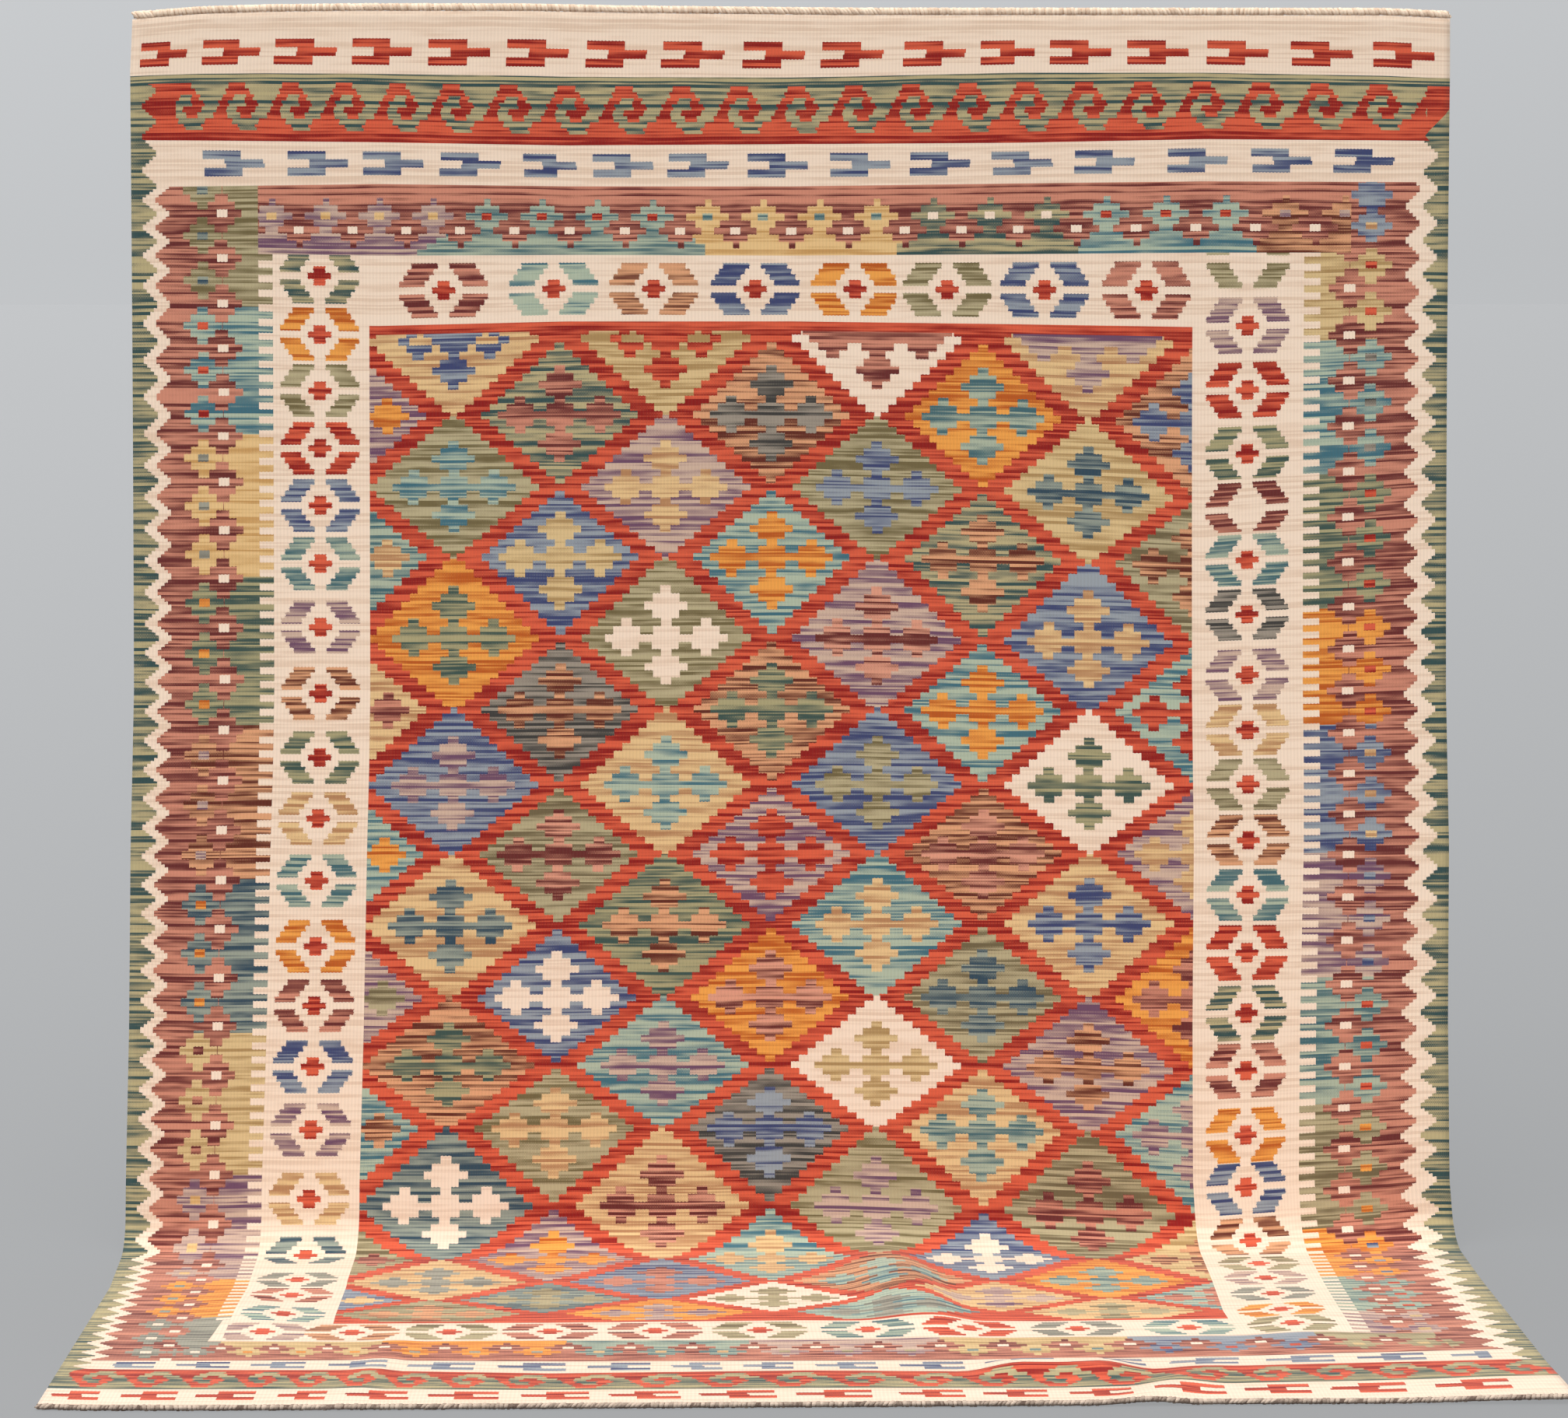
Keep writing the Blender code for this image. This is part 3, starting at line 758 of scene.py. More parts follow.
def cloth_mesh(name, pitch):
    """The back of the cloth as a grid whose lines follow the weft and warp, with the chart on its faces.

    Each face keeps the light and dark tone of its three yarns. The fourth number of a light tone is the share
    of dark rows, and that of a dark one the yarn's own number, as a share of their count.
    """
    marks = [-HALF_WIDTH, HALF_WIDTH]
    for pair in (EDGES, COMBS_OUT, COMBS_IN, FIELD_SIDES, TOP_BORDER_SIDES, LOW_BORDER_SIDES):
        marks += pair
    marks = sorted(set(marks))
    across = stations(marks, [pitch * FIELD_PITCHES[mark == FIELD_SIDES[0]] for mark in marks[:-1]])
    marks = [0, HEADER_TOP, HOOKS_TOP, BASE_TOP, BASE_END, FLOWERS_TOP, FLOWERS_END, FRAME_LINE, FIELD_TOP]
    marks += [*TURN_LINES, FIELD_END, LOW_FRAME_END, LOW_FLOWERS_TOP, LOW_FLOWERS_END]
    marks += [LOW_BASE_TOP, LOW_HOOKS_TOP, LOW_HEADER_TOP, LOW_HEADER_END, END]
    along = stations(marks, [pitch] * (len(marks) - 1))
    points = cloth_points(across, along)
    mesh = new_mesh(name, points.reshape(-1, 3), grid_faces(len(along), len(across)))
    chart = rug_chart(across, along)
    places = np.zeros((len(along), len(across), 3))
    places[..., 0] = across[None, :]
    places[..., 1] = along[:, None]
    add_attribute(mesh, "weave", "FLOAT_VECTOR", "POINT", places)
    add_attribute(mesh, "motif", "FLOAT_VECTOR", "CORNER", chart.motif)
    add_attribute(mesh, "kind", "FLOAT", "FACE", chart.kind)
    add_attribute(mesh, "area", "FLOAT", "FACE", chart.seed)
    light = np.column_stack([linear([row[1] for row in YARNS]), column(YARNS, 3)])
    dark = np.column_stack([linear([row[2] for row in YARNS]), np.arange(len(YARNS)) / len(YARNS)])
    for number, letter in enumerate("abc"):
        chosen = chart.yarns[:, number]
        add_attribute(mesh, "light_" + letter, "FLOAT_COLOR", "FACE", light[chosen])
        add_attribute(mesh, "dark_" + letter, "FLOAT_COLOR", "FACE", dark[chosen])
    return mesh


def noise_row(count, seed):
    """Even numbers between 0 and 1 that look unordered: the fractions of a sine at each whole number."""
    return np.mod(np.sin(np.arange(count) * 12.9898 + seed * 78.233) * 43758.5453, 1.0)


def along_line(marks, line, places):
    """Points of a line at the given places, read between its own points, which lie at the marks."""
    return np.stack([np.interp(places, marks, line[:, axis]) for axis in range(3)], axis=-1)


CORE_SHARE, CORE_SHADE = 0.72, 0.6  # width of a roll's core as a share of the roll's own, and how dark it is painted, as painted shade seen between the strands
STRAND_SWELL = (0.30, 0.85, 1.0, 1.0, 0.85, 0.30)  # thickness of a strand at its rings, from end to end
STRAND_SIDES = 6
STRAND_CAPS = (((0, 5, 4, 3), (0, 3, 2, 1)), ((0, 1, 2, 3), (0, 3, 4, 5)))  # corners of the faces at its ends
STRAND_ARCS = ((-105.0, 105.0), (75.0, 285.0))  # turns of the strands on a roll's face, and on its back


def strand_arcs(centres, radii, turns, lean, sizes, spread, outward, faceward):
    """Short fat strands laid round a roll: their points and faces, and each face's strand and place along it.

    Each strand follows an arc of the roll's oval section from one turn to another, leaning along the rug as
    it goes. Its own section is a six-sided ring that is widest at the middle of the arc and narrow at both
    ends. spread is how far each strand stands out, as a share of the roll's size.
    """
    rings, count = len(STRAND_SWELL), len(centres)
    shares = np.linspace(0, 1, rings)
    angle = np.radians(turns[:, :1] + (turns[:, 1:] - turns[:, :1]) * shares)
    side = np.array((1.0, 0.0, 0.0))
    out = np.sin(angle)[..., None] * outward
    face = np.cos(angle)[..., None] * faceward
    stands = [spread * size / 2 - radii * 0.8 for size in sizes]
    middle = centres[:, None, :] + out * stands[0][:, None, None] + face * stands[1][:, None, None]
    middle = middle + side * (lean[:, None, None] * (shares[None, :, None] - 0.5))
    normal = (out + face) / np.linalg.norm(out + face, axis=-1, keepdims=True)
    spins = np.arange(STRAND_SIDES) * math.tau / STRAND_SIDES
    ring = np.cos(spins)[:, None] * side + np.sin(spins)[:, None] * normal[:, :, None, :]
    points = middle[:, :, None, :] + (radii[:, None] * STRAND_SWELL)[:, :, None, None] * ring
    first = np.arange(count)[:, None, None] * rings * STRAND_SIDES
    start = first + np.arange(rings - 1)[None, :, None] * STRAND_SIDES
    here = start + np.arange(STRAND_SIDES)
    after = start + (np.arange(STRAND_SIDES) + 1) % STRAND_SIDES
    faces = [np.stack([here, after, after + STRAND_SIDES, here + STRAND_SIDES], axis=-1).reshape(-1, 4)]
    strands = [np.repeat(np.arange(count), (rings - 1) * STRAND_SIDES)]
    places = [np.tile(np.repeat((shares[:-1] + shares[1:]) / 2, STRAND_SIDES), count)]
    for share, corners in enumerate(STRAND_CAPS):
        for four in corners:
            faces.append(first[:, 0] + share * (rings - 1) * STRAND_SIDES + np.array(four))
            strands.append(np.arange(count))
            places.append(np.full(count, float(share)))
    return points.reshape(-1, 3), np.concatenate(faces), np.concatenate(strands), np.concatenate(places)


def roll_core(line, outward, faceward, sizes):
    """The slim core of a roll: an eight-sided ring at each point of its line, and three faces at each end."""
    width, depth = sizes
    spins = (np.arange(8) + 0.5) * math.pi / 4
    ring = np.cos(spins)[:, None] * outward * width + np.sin(spins)[:, None] * faceward * depth
    points = line[:, None, :] + ring * CORE_SHARE / 2
    last = (len(line) - 1) * 8
    start = np.arange(0, last, 8)[:, None]
    here, after = start + np.arange(8), start + (np.arange(8) + 1) % 8
    sides = np.stack([here, here + 8, after + 8, after], axis=-1).reshape(-1, 4)
    ends = [(0, 1, 2, 7), (2, 3, 6, 7), (3, 4, 5, 6)]
    ends += [tuple(last + spot for spot in reversed(face)) for face in ends]
    faces = np.concatenate([sides, ends])
    return points.reshape(-1, 3), faces[:, ::-1] if np.cross(outward, faceward)[0] < 0 else faces


def roll_mesh(name, end, pitch, outward, faceward, sizes, off, lean, clusters, pinch, root, loose, turned):
    """A plaited roll along one end of the cloth: a slim core with slanting strands round its face and back.

    off is how far the roll's middle lies from the cloth's back. Strands lie in clusters, and those where two
    clusters meet are thinner by the share `pinch` and painted darker, as painted shade in the notches. root
    is the turn at which strands are painted darkest, as painted shade, and by how much, loose how unevenly
    they stand out, and turned how far the strands are turned round the core.
    """
    shade_turn, shade_depth = root
    outward, faceward = np.array(outward, float), np.array(faceward, float)
    edge_places = np.linspace(-1, 1, 169)
    edge = cloth_back(edge_places, end) + outward * (PIECE_GAP + sizes[0] / 2 - ROLL_OVERLAP) + faceward * off
    count = int(2 * HALF_WIDTH / pitch)
    places = -0.9975 + 1.995 * (np.arange(count) + 0.5 + 0.35 * (noise_row(count, 1) - 0.5)) / count
    bounds = np.cumsum(0.4 + 1.2 * noise_row(clusters, 2))
    bounds = -1 + 2 * bounds / bounds[-1]
    gap = np.abs(places[:, None] - np.append(-1, bounds)).min(axis=1) * HALF_WIDTH
    fat = 1 - pinch * np.clip(1 - gap / (1.3 * pitch), 0, 1)
    cluster = noise_row(clusters + 1, 9)[np.searchsorted(bounds, np.clip(places, -1, 1))]
    meshes, seeds, painted_shades = [], [], []
    for number, arc in enumerate(STRAND_ARCS):
        line = along_line(edge_places, edge, places + number * 0.5 * pitch / HALF_WIDTH)
        radii = pitch * 0.74 * (0.85 + 0.30 * noise_row(count, 3 + number)) * fat
        turns = np.array(arc) + turned + 12 * (noise_row(count, 5) - 0.5)[:, None]
        spread = 1.0 - loose * noise_row(count, 11 + number) - 0.3 * (1 - fat)
        slant = lean * (cluster * 1.9 - 0.5 + 0.5 * noise_row(count, 7 + number)) * (1 if number == 0 else -1)
        *made, strands, shares = strand_arcs(line, radii, turns, slant, sizes, spread, outward, faceward)
        meshes.append(made)
        seeds.append(strands + number * count)
        # Painted shade: strands darken near the turn where shade falls, and more where two clusters meet
        off_shade_turn = np.abs(turns[strands, 0] + (turns[strands, 1] - turns[strands, 0]) * shares - shade_turn)
        painted_shades.append(shade_depth * np.clip(1.2 - off_shade_turn / 55, 0, 1) + (1 - fat)[strands])
    core_line = along_line(edge_places, edge, np.linspace(-0.998, 0.998, 127))
    meshes.append(roll_core(core_line, outward, faceward, sizes))
    seeds.append(np.zeros(len(meshes[-1][1])))
    # The core is painted dark, as painted shade between the strands
    painted_shades.append(np.full(len(meshes[-1][1]), CORE_SHADE))
    starts = np.cumsum([0] + [len(points) for points, _ in meshes])
    all_faces = [faces + start for (_, faces), start in zip(meshes, starts)]
    mesh = new_mesh(name, np.concatenate([points for points, _ in meshes]), np.concatenate(all_faces))
    add_attribute(mesh, "strand", "FLOAT", "FACE", np.concatenate(seeds))
    add_attribute(mesh, "root", "FLOAT", "FACE", np.concatenate(painted_shades))
    return mesh


# ---- Materials ---------------------------------------------------------------------------------------------


class Value:
    """A number inside a material. Plain arithmetic on it adds the node that does it."""

    def __init__(self, graph, socket):
        self.graph = graph
        self.socket = socket

    def of(self, operation, *others):
        return self.graph.math(operation, self, *others)

    def __add__(self, other):
        return self.of("ADD", other)

    def __sub__(self, other):
        return self.of("SUBTRACT", other)

    def __rsub__(self, other):
        return self.graph.math("SUBTRACT", other, self)

    def __mul__(self, other):
        return self.of("MULTIPLY", other)

    def __truediv__(self, other):
        return self.of("DIVIDE", other)

    def __rtruediv__(self, other):
        return self.graph.math("DIVIDE", other, self)

    def __lt__(self, other):
        return self.of("LESS_THAN", other)

    def __gt__(self, other):
        return self.of("GREATER_THAN", other)

    def __and__(self, other):
        return self.of("MULTIPLY", other)

    def __or__(self, other):
        return self.of("MAXIMUM", other)

    def __invert__(self):
        return self.graph.math("SUBTRACT", 1.0, self)

    def __abs__(self):
        return self.of("ABSOLUTE")

    def floor(self):
        return self.of("FLOOR")

    def fract(self):
        return self.of("FRACT")

    def near(self, other):
        """1 where it is within a half of the other."""
        return self.graph.math("COMPARE", self, other, 0.5)

    __radd__ = __add__
    __rmul__ = __mul__


class Graph:
    """The node tree of a material, and short ways to add to it."""

    def __init__(self, material):
        self.tree = material.node_tree

    def put(self, socket, value):
        """Links a socket to a value or to another socket, or sets it to a constant."""
        if isinstance(value, Value):
            value = value.socket
        if isinstance(value, bpy.types.NodeSocket):
            self.tree.links.new(value, socket)
        else:
            socket.default_value = value

    def node(self, kind, settings=None, sockets=None):
        """A new node with its settings and its inputs, which are given by name or by number."""
        made = self.tree.nodes.new(kind)
        for name, value in (settings or {}).items():
            setattr(made, name, value)
        for name, value in (sockets or {}).items():
            self.put(made.inputs[name], value)
        return made

    def math(self, operation, *values):
        made = self.node("ShaderNodeMath", {"operation": operation}, dict(enumerate(values)))
        return Value(self, made.outputs[0])

    def clamp(self, value):
        """A number cut off below 0 and above 1."""
        return Value(self, self.node("ShaderNodeClamp", None, {0: value}).outputs[0])

    def mix(self, share, first, second):
        """A colour between two others."""
        made = self.node("ShaderNodeMix", {"data_type": "RGBA"}, {0: share, 6: first, 7: second})
        return made.outputs[2]

    def blend(self, share, first, second):
        """A number between two others."""
        return first + (second - first) * share

    def attribute(self, name, output="Fac"):
        made = self.node("ShaderNodeAttribute", {"attribute_name": name})
        return made.outputs[output]

    def parts(self, vector):
        """The three numbers of a vector."""
        made = self.node("ShaderNodeSeparateXYZ", None, {0: vector})
        return [Value(self, socket) for socket in made.outputs]

    def vector(self, x=0.0, y=0.0, z=0.0):
        return self.node("ShaderNodeCombineXYZ", None, {0: x, 1: y, 2: z}).outputs[0]

    def random(self, x=0.0, y=0.0, z=0.0):
        """An unordered number from 0 to 1 for each different set of three."""
        made = self.node("ShaderNodeTexWhiteNoise", {"noise_dimensions": "3D"}, {0: self.vector(x, y, z)})
        return Value(self, made.outputs[0])

    def cloudy(self, x=0.0, y=0.0, z=0.0, detail=1.0):
        """A smooth number about 0.5 that changes over a distance of about one."""
        sockets = {"Vector": self.vector(x, y, z), "Scale": 1.0, "Detail": detail, "Roughness": 0.5}
        return Value(self, self.node("ShaderNodeTexNoise", None, sockets).outputs[0])


def any_of(masks):
    """1 where any of the masks is 1: the largest of them."""
    found = masks[0]
    for mask in masks[1:]:
        found = found | mask
    return found


def diamond_masks(graph, x, y, size):
    """Figure and band of the field: small diamonds in the middle of each large one and off it on four sides.

    A size over TOP_MARK marks the top row of diamonds, whose upper figures follow a table.
    """
    row = (y + 0.5).floor()
    far, high = abs(x), abs(row)
    cut, wide = size > TOP_MARK, size > 2 * TOP_MARK
    level = [(far + high) < SMALL_HALF, (abs(far - SMALL_OUT) + high) < SMALL_HALF]
    level.append((high < 0.5) & (far < SMALL_OUT))
    figure = [any_of(level) & ~cut, (far + abs(high - SMALL_UP)) < SMALL_HALF]
    for here, spans in ((cut & ~wide, HALF_FIGURES), (wide, WIDE_FIGURES)):
        for number, start, stop in spans:
            figure.append(here & row.near(float(number)) & (far > start - 0.01) & (far < stop))
    return any_of(figure), (far + high) > size - (cut + wide) * TOP_MARK


def hexagon_masks(graph, x, y, size):
    """Wings and cross, in millimetres: a wing has four rows, and its sides step in away from the middle."""
    far, high = abs(x), abs(y)
    row = ((high - WING_START) / WING_ROW).floor()
    wing = (row > -0.5) & (row < 3.5)
    wing = wing & (far > WING_INNER - row * INNER_STEP) & (far < size - row * OUTER_STEP)
    cross = (high < CROSS_HIGH) & (far < (high < CROSS_BAR) * (CROSS_WIDE - CROSS_STEM) + CROSS_STEM)
    return wing, cross


def arrow_masks(graph, x, y, size):
    """Three bars one above another: the outer two begin where the arrow does, the middle one ends with it."""
    middle = (y * 3.0).floor().near(1.0)
    inside = (x > 0.0) & (x < 1.0) & (y > 0.0) & (y < 1.0)
    return (inside & graph.blend(middle, x < OUTER_BARS_END, x > MIDDLE_BAR_START),)


def hook_masks(graph, x, y, size):
    """The red spans of each row. A span that runs past one hook's pitch goes on in the next."""
    place, row = x.fract(), y.floor()
    red = [y > float(HOOK_ROWS)]
    for number, start, stop in HOOK_SPANS:
        spans = ((start, stop),) if stop <= 1 else ((start, 1.0), (-0.01, stop - 1))
        for first, last in spans:
            red.append(row.near(float(number)) & (place > first) & (place < last))
    return (any_of(red) & (size > 0.0),)


def tooth_masks(graph, x, y, size):
    """The green ends on a line that steps out and back once a tooth, and cream of even width follows it."""
    place = ((y.fract() * TOOTH_ROWS).floor() + 0.5) / TOOTH_ROWS
    line = (1.0 - abs(place * 2.0 - 1.0)) * TOOTH_REACH + TOOTH_START
    return x > line, x > line + size


def side_border_masks(graph, x, y, size):
    """A flower's half-width falls by one step from row to row: 2.75, 1.75 and 0.75. Rose ones lie between."""
    row = graph.math("FLOORED_MODULO", (y + 0.5).floor(), SIDE_ROWS)
    off = graph.math("MINIMUM", row, SIDE_ROWS - row)
    inner = abs(x - SIDE_ROSE)
    flower = abs(x) < SIDE_HALF - off
    rose = inner < off - 0.25
    ground = (x > size + SIDE_ROSE) & ~rose
    middle = (off < 0.5) & (abs(x) < 0.75)
    spot = (off > 2.5) & (inner < 0.75) & (size < PLAIN_MARK / 2)
    return flower | ground, middle, spot


def level_border_masks(graph, x, y, size):
    """Coloured flowers on row 0, rose ones midway between them on row 2, the group's colour from there on."""
    row = (y + 0.5).floor()
    far, high = abs(x), abs(row)
    between = abs(LEVEL_STEPS / 2 - far)
    flower = far < LEVEL_HALF - high
    rose = between < LEVEL_HALF - abs(row - 2.0)
    ground = graph.blend(row > 1.5, flower, ~rose)
    middle = (high < 0.5) & (far < 0.55)
    spot = row.near(2.0) & (between < 0.55)
    return ground, middle, spot


def comb_masks(graph, x, y, size):
    """Teeth half as wide as their repeat, and the ground where x is below 0."""
    return ((y.fract() < 0.5) | (x < 0.0),)


# Masks of the second yarn, the third and the cream spots of each kind of area, and how toothed its edges are
MASKS = {
    DIAMONDS: (diamond_masks, 0.10),
    HEXAGONS: (hexagon_masks, 1.0),
    ARROWS: (arrow_masks, 0.030),
    HOOKS: (hook_masks, 0.03),
    TEETH: (tooth_masks, 0.02),
    SIDE_BORDER: (side_border_masks, 0.10),
    LEVEL_BORDER: (level_border_masks, 0.10),
    COMB: (comb_masks, 0.05),
}


def plain_material(name, colour, roughness):
    """A material of one colour."""
    made = bpy.data.materials.new(name)
    made.use_nodes = True
    shader = made.node_tree.nodes["Principled BSDF"]
    shader.inputs["Base Color"].default_value = (*colour, 1.0)
    shader.inputs["Roughness"].default_value = roughness
    shader.inputs["Specular IOR Level"].default_value = 0.2
    return made


def yarn_number(graph, name, second, third):
    """The number kept with the tone of the yarn that shows, out of an area's three."""
    numbers = [Value(graph, graph.attribute(name + letter, "Alpha")) for letter in "abc"]
    return graph.blend(third, graph.blend(second, numbers[0], numbers[1]), numbers[2])


# Weights of what makes a place dark: its row, the drift along the row, fine half rows, dots between warps
ROW_WEIGHT, DRIFT_WEIGHT, FINE_WEIGHT, DOT_WEIGHT = 0.58, 1.7, 1.15, 0.34
PLAIN_DEPTH, ROW_MEAN = 0.33, 0.21
FRONT_START, FRONT_RATE, FRONT_PAINTED_LIGHT = 1.64, 9.0, 0.09  # painted light: the part on the floor is painted with fewer dark rows, for the lighter look it has lying flat in the light
BEAD_PITCH = 0.0013  # from one row of beads on the warps to the next
# Painted shade: the dark colour that the grooves between warps and between their beads are painted towards
GROOVE_SHADE_TONE = (0.10, 0.07, 0.05, 1.0)


def weave_material(name, row_height, warp_pitch, relief):
    """The yarns of the chart, in weft rows of uneven tone over ribs of warp.

    Each kind of area turns its motif places into masks for its second and third yarn. A change of colour
    between two rows is toothed at every warp. Each row of an area is light, dark or dotted, and drifts in
    tone along its length.
    """
    made = plain_material(name, (0.6, 0.45, 0.35), 0.92)
    graph = Graph(made)
    across, along, _ = graph.parts(graph.attribute("weave", "Vector"))
    x, y, size = graph.parts(graph.attribute("motif", "Vector"))
    kind = Value(graph, graph.attribute("kind"))
    area = Value(graph, graph.attribute("area"))
    warp = across / warp_pitch
    tooth = abs(warp.fract() - 0.5) * 2.0 - 0.5
    sway = graph.cloudy(across * 9.0, along * 14.0, area) - 0.5
    found = ([], [], [])
    for number, (masks, bite) in MASKS.items():
        here = kind.near(float(number))
        ragged = y + (tooth * 0.9 + sway * 1.6) * bite
        step = graph.random((ragged + 0.5).floor(), area, float(number)) - 0.5
        for kept, mask in zip(found, masks(graph, x + step * bite * 1.6, ragged, size)):
            kept.append(here & mask)
    second, third, spots = [any_of(kept) for kept in found]
    line = along / row_height + (graph.cloudy(across * 6.0, along * 8.0) - 0.5) * 1.3
    row, half_row = line.floor(), (line * 2.0).floor()
    share = yarn_number(graph, "light_", second, third)
    shade = (yarn_number(graph, "dark_", second, third) * float(len(YARNS)) + 0.5).floor()
    own = area * (shade > 1.5)
    drift = graph.cloudy(across * 12.0, row * 7.3, own * 3.1, 2.0)
    # Painted light: the part that lies on the floor gets fewer dark rows, so it looks lighter
    share = share - graph.clamp((along - FRONT_START) * FRONT_RATE) * FRONT_PAINTED_LIGHT
    chance = graph.random(row, own, shade) * ROW_WEIGHT + (drift - 0.5) * DRIFT_WEIGHT + ROW_MEAN
    fine = graph.random(half_row, own, shade + 40.0)
    dots = (warp * 2.0 + half_row * 0.5).fract() > 0.5
    depth = (share - chance) * 2.0 + (fine - 0.5) * FINE_WEIGHT + dots * DOT_WEIGHT + PLAIN_DEPTH
    tone = graph.clamp(depth)
    pairs = []
    for letter in "abc":
        light = graph.attribute("light_" + letter, "Color")
        deep = graph.attribute("dark_" + letter, "Color")
        pairs.append(graph.mix(tone, light, deep))
    colour = graph.mix(third, graph.mix(second, pairs[0], pairs[1]), pairs[2])
    colour = graph.mix(spots, colour, (*linear(YARNS[0][1]), 1.0))
    ridge = abs(warp.fract() - 0.5) * -2.0
    bead = abs((along / BEAD_PITCH + warp.floor() * 0.5).fract() - 0.5) * -2.0
    height = ridge * 0.6 + bead * 0.25 + sway * 0.8
    bump = graph.node("ShaderNodeBump", None, {"Strength": 0.5, "Distance": relief, "Height": height})
    shader = made.node_tree.nodes["Principled BSDF"]
    shader.inputs["Sheen Weight"].default_value = 0.14
    shader.inputs["Sheen Roughness"].default_value = 0.5
    # Painted shade: the grooves between warps and between the beads on them are painted darker
    colour = graph.mix((ridge * 0.10 + bead * 0.05) * -1.0, colour, GROOVE_SHADE_TONE)
    graph.put(shader.inputs["Base Color"], colour)
    graph.put(shader.inputs["Normal"], bump.outputs[0])
    return made


def plait_material(name, light, dark):
    """Undyed warp ends: each strand has its own tone and painted shade towards its root, and fine fibres
    cross it.
    """
    made = plain_material(name, light, 0.95)
    graph = Graph(made)
    strand = Value(graph, graph.attribute("strand"))
    # root is painted shade: darker towards the strands' roots, in the notches between clusters and on the
    # core
    root = Value(graph, graph.attribute("root"))
    place = graph.node("ShaderNodeTexCoord").outputs["Object"]
    x, y, z = graph.parts(place)
    patch = graph.cloudy(x * 22.0, 0.0, 0.0) - 0.5
    fibres = graph.cloudy(x * 400.0, y * 900.0, z * 900.0)
    tone = graph.random(strand) * 0.60 + fibres * 0.6 + patch - 0.34 + root
    colour = graph.mix(tone, (*light, 1.0), (*dark, 1.0))
    graph.put(made.node_tree.nodes["Principled BSDF"].inputs["Base Color"], colour)
    return made


STAGE_MIDDLE, FALL_REACH = -0.4, 4.3  # where the light painted on the floor is dimmest, and how far off its painted falloff is half
SIDE_REACH, SIDE_LOSS = 5.0, 0.18  # how soon the light painted on the floor falls off to the right, and by what share far off
FLOOR_LIGHT = 2.06  # how bright the lamp and the surround make a white floor
HORIZON_RATE = 13.0  # how soon the surround gets lighter above the horizon


def stage_tone(graph, socket, far, fall, glow):
    """A pale colour with painted light: it falls by `fall` near the middle of the stage, and by a little more
    to its right.

    glow is the share that is left, between 0 and 1.
    """
    x, y, _ = graph.parts(socket)
    forward = y - STAGE_MIDDLE
    distance = graph.math("SQRT", x * x + forward * forward)
    share = 1.0 - fall / (distance + FALL_REACH)
    share = share * (1.0 - x / (distance + SIDE_REACH) * SIDE_LOSS) * glow
    return graph.mix(share, (0.0, 0.0, 0.0, 1.0), (*far, 1.0))


def floor_material(name, far, fall, glow):
    """A plain pale grey floor with painted light: it is painted a little lighter with distance, and darker to
    the right.

    Part of its light is its own, so shadows on it are soft.
    """
    made = plain_material(name, far, 0.85)
    graph = Graph(made)
    place = graph.node("ShaderNodeTexCoord").outputs["Object"]
    shader = made.node_tree.nodes["Principled BSDF"]
    graph.put(shader.inputs["Base Color"], stage_tone(graph, place, far, fall, (1.0 - glow) / FLOOR_LIGHT))
    graph.put(shader.inputs["Emission Color"], stage_tone(graph, place, far, fall, glow))
    shader.inputs["Emission Strength"].default_value = 1.0
    return made


def surround(name, horizon, rise):
    """The light all round: the tone of the far floor at the horizon, a little lighter above it."""
    made = bpy.data.worlds.new(name)
    made.use_nodes = True
    graph = Graph(made)
    x, _, z = graph.parts(graph.node("ShaderNodeTexCoord").outputs["Generated"])
    share = (1.0 + graph.clamp(z * HORIZON_RATE) * rise) * (1.0 - x * SIDE_LOSS)
    twice = [tone * 2.0 for tone in horizon]
    colour = graph.mix(share * 0.5, (0.0, 0.0, 0.0, 1.0), (*twice, 1.0))
    graph.put(made.node_tree.nodes["Background"].inputs["Color"], colour)
    return made


# ---- Settings, operators and panel -------------------------------------------------------------------------


def length_setting(name, description, default, least=0.001, most=1.0):
    """A setting in metres."""
    return bpy.props.FloatProperty(
        name=name, description=description, default=default, min=least, max=most, unit="LENGTH"
    )


def number_setting(name, description, default, least=0.0, most=1000.0):
    """A plain number, such as a strength or a share."""
    return bpy.props.FloatProperty(name=name, description=description, default=default, min=least, max=most)


def tone_setting(name, description, default):
    """A colour."""
    return bpy.props.FloatVectorProperty(
        name=name, description=description, default=default, min=0.0, max=1.0, size=3, subtype="COLOR"
    )


class KilimClothSettings(bpy.types.PropertyGroup):
    """Sizes of the woven cloth."""

    thickness: length_setting("Thickness", "Thickness of the weave", 0.003, most=0.01)
    grid_pitch: length_setting("Grid pitch", "Largest step of the cloth's grid", 0.0080, least=0.004)
    row_height: length_setting("Row height", "Height of one visible row of tone", 0.0042)
    warp_pitch: length_setting("Warp pitch", "Distance between two warps", 0.0046)
    relief: length_setting("Relief", "Depth of the ribs of the weave", 0.0006, least=0.0)


class KilimRollSettings(bpy.types.PropertyGroup):
    """Sizes and colours of the plaited rolls."""

    upper_pitch: length_setting("Upper pitch", "Distance between strands of the upper roll", 0.0049)
    lower_pitch: length_setting("Lower pitch", "Distance between strands of the lower roll", 0.0052)
    upper_light: tone_setting("Upper light tone", "Light strands of the upper roll", (0.88, 0.71, 0.55))
    # The dark tones also give the painted shade at the strands' roots, between clusters and on the core
    upper_dark: tone_setting("Upper dark tone", "Dark strands of the upper roll", (0.52, 0.36, 0.25))
    lower_light: tone_setting("Lower light tone", "Light strands of the lower roll", (0.56, 0.45, 0.36))
    lower_dark: tone_setting("Lower dark tone", "Dark strands of the lower roll", (0.13, 0.09, 0.07))


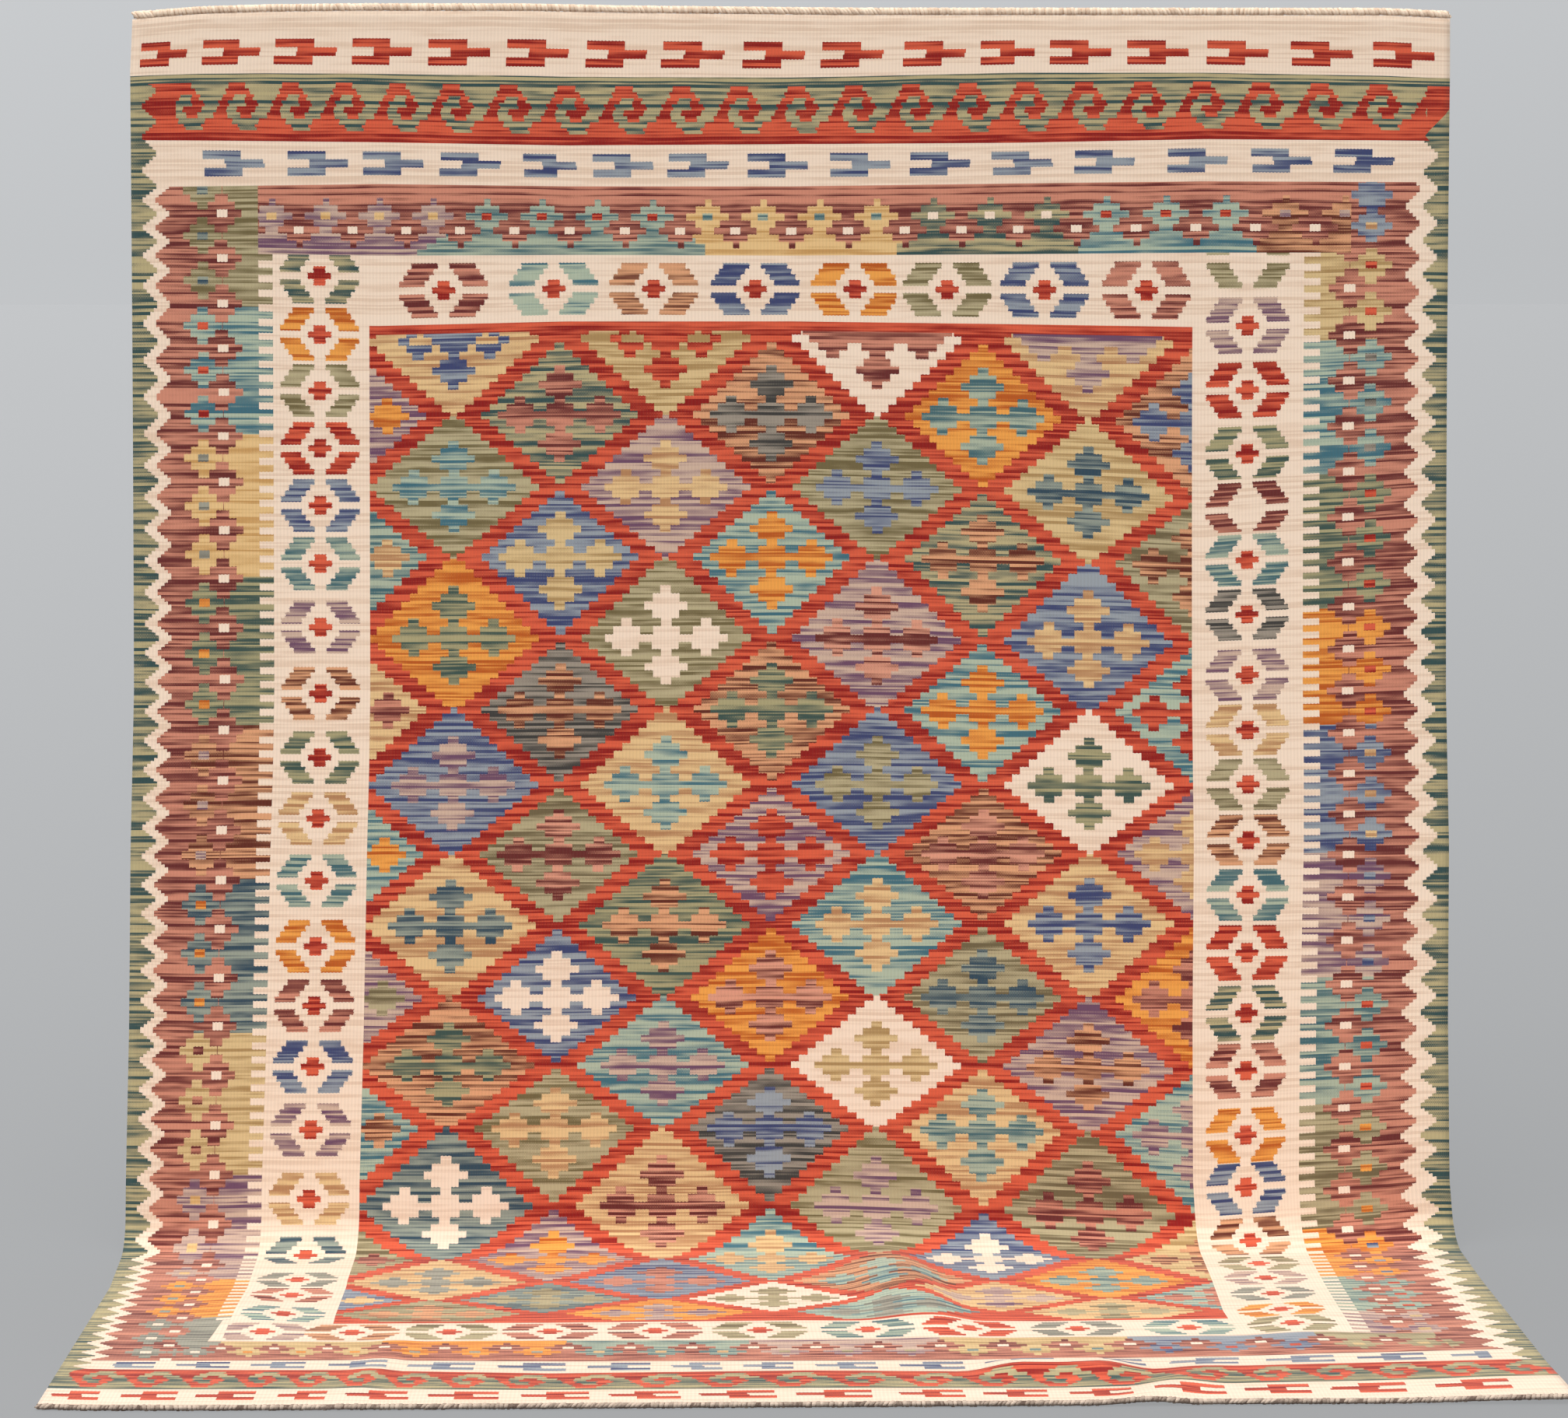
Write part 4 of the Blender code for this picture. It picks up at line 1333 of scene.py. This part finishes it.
class KilimStageSettings(bpy.types.PropertyGroup):
    """The floor, the light and the camera."""

    pale: tone_setting("Pale tone", "Colour of the far floor", (0.529, 0.542, 0.556))
    # fall is painted light: how much dimmer the floor is painted near the rug
    fall: number_setting("Fall", "Loss of tone of the floor by the rug", 1.25)
    glow: number_setting("Glow", "Share of the floor's own light", 0.80, most=1.0)
    rise: number_setting("Rise", "Gain of tone above the horizon", 0.09)
    lamp: number_setting("Lamp", "Strength of the soft lamp", 3.48)
    lens: number_setting("Lens", "Focal length in millimetres", 92.32, least=10.0)


class KILIM_OT_cloth(bpy.types.Operator):
    """Add the woven cloth with its selvedges"""

    bl_idname = "kilim.cloth"
    bl_label = "Woven cloth"

    def execute(self, context):
        sizes = context.scene.kilim_cloth
        mesh = cloth_mesh("woven_cloth", sizes.grid_pitch)
        material = weave_material("wool weave", sizes.row_height, sizes.warp_pitch, sizes.relief)
        cloth = add_object("woven_cloth", mesh, material)
        thicken = cloth.modifiers.new("Thickness", "SOLIDIFY")
        thicken.thickness = sizes.thickness
        thicken.offset = 1.0
        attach(cloth, "root")
        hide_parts("kilim_cloth")
        return {"FINISHED"}


# root is the turn and depth of the painted shade on the strands: under the upper roll, and at the bottom of
# the lower one, where it lies on the floor
ROLLS = {
    "upper_plait": dict(
        outward=(0, 0, 1),
        faceward=(0, -1, 0),
        sizes=(UPPER_ROLL_WIDTH, UPPER_ROLL_DEPTH),
        off=0.0015,
        lean=-0.0075,
        clusters=26,
        pinch=0.15,
        root=(-70, 0.12),
        loose=0.10,
        turned=0.0,
    ),
    "lower_plait": dict(
        outward=(0, -1, 0),
        faceward=(0, 0, 1),
        sizes=(LOWER_ROLL_WIDTH, LOWER_ROLL_DEPTH),
        off=LOWER_ROLL_DEPTH / 2,
        lean=-0.0070,
        clusters=38,
        pinch=0.55,
        root=(175, 0.8),
        loose=0.20,
        turned=45.0,
    ),
}


class KILIM_OT_rolls(bpy.types.Operator):
    """Add the plaited rolls of warp ends along both ends of the cloth"""

    bl_idname = "kilim.rolls"
    bl_label = "Rolls of warp ends"

    def execute(self, context):
        settings = context.scene.kilim_rolls
        for which, length in (("upper", 0.0), ("lower", fall_lengths()[3])):
            name, node = which + "_roll", which + "_plait"
            light, dark = [tuple(getattr(settings, which + tone)) for tone in ("_light", "_dark")]
            mesh = roll_mesh(name, length, getattr(settings, which + "_pitch"), **ROLLS[node])
            roll = add_object(name, mesh, plait_material(which + " warp ends", light, dark))
            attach(roll, "root")
            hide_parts(node)
        return {"FINISHED"}


LAMP_TURNS, LAMP_ANGLE, LAMP_TONE = (26, 0, -20), 64, (1.0, 0.97, 0.95)
CAMERA_PLACE, CAMERA_TURNS = (-0.113, -5.4, -0.321), (84.5542, 0, -1.111)
CAMERA_SHIFT, SENSOR_WIDTH, VIEW_END, FLOOR_HALF = -0.05, 36.0, 400.0, 90.0


class KILIM_OT_stage(bpy.types.Operator):
    """Add the floor, the soft light and the camera"""

    bl_idname = "kilim.stage"
    bl_label = "Stage"

    def execute(self, context):
        settings = context.scene.kilim_stage
        corners = np.array([(-1, -1), (1, -1), (1, 1), (-1, 1)]) * FLOOR_HALF
        points = np.column_stack([corners, np.full(4, -FLOOR_DROP)])
        material = floor_material("pale floor", tuple(settings.pale), settings.fall, settings.glow)
        floor = add_object("floor", new_mesh("floor", points, np.array([(0, 1, 2, 3)])), material)
        context.scene.world = surround("surround", tuple(settings.pale), settings.rise)
        lamp = bpy.data.lights.new("soft lamp", "SUN")
        lamp.energy = settings.lamp
        lamp.angle = math.radians(LAMP_ANGLE)
        lamp.color = LAMP_TONE
        placed = bpy.data.objects.new("soft lamp", lamp)
        placed.rotation_euler = [math.radians(turn) for turn in LAMP_TURNS]
        context.scene.collection.objects.link(placed)
        camera = bpy.data.cameras.new("camera")
        camera.lens = settings.lens
        camera.sensor_width = SENSOR_WIDTH
        camera.shift_y = CAMERA_SHIFT
        camera.clip_end = VIEW_END
        view = bpy.data.objects.new("camera", camera)
        view.location = CAMERA_PLACE
        view.rotation_euler = [math.radians(turn) for turn in CAMERA_TURNS]
        context.scene.collection.objects.link(view)
        context.scene.camera = view
        context.scene.view_settings.view_transform = "Standard"
        return {"FINISHED"}


class KILIM_PT_panel(bpy.types.Panel):
    """Lists the pieces of the rug and their settings"""

    bl_label = "Kilim rug"
    bl_idname = "KILIM_PT_panel"
    bl_space_type = "VIEW_3D"
    bl_region_type = "UI"
    bl_category = "Kilim"

    def draw(self, context):
        for name, operator in zip(SETTINGS, OPERATORS):
            settings = getattr(context.scene, name)
            for setting in settings.__annotations__:
                self.layout.prop(settings, setting)
            self.layout.operator(operator.bl_idname)


SETTINGS = {
    "kilim_cloth": KilimClothSettings,
    "kilim_rolls": KilimRollSettings,
    "kilim_stage": KilimStageSettings,
}
OPERATORS = (KILIM_OT_cloth, KILIM_OT_rolls, KILIM_OT_stage)


def register():
    for made in (*SETTINGS.values(), *OPERATORS, KILIM_PT_panel):
        bpy.utils.register_class(made)
    for name, made in SETTINGS.items():
        setattr(bpy.types.Scene, name, bpy.props.PointerProperty(type=made))


def unregister():
    for name in SETTINGS:
        delattr(bpy.types.Scene, name)
    for made in reversed((*SETTINGS.values(), *OPERATORS, KILIM_PT_panel)):
        bpy.utils.unregister_class(made)


def main():
    register()
    bpy.ops.kilim.cloth()
    bpy.ops.kilim.rolls()
    bpy.ops.kilim.stage()


if __name__ == "__main__":
    main()
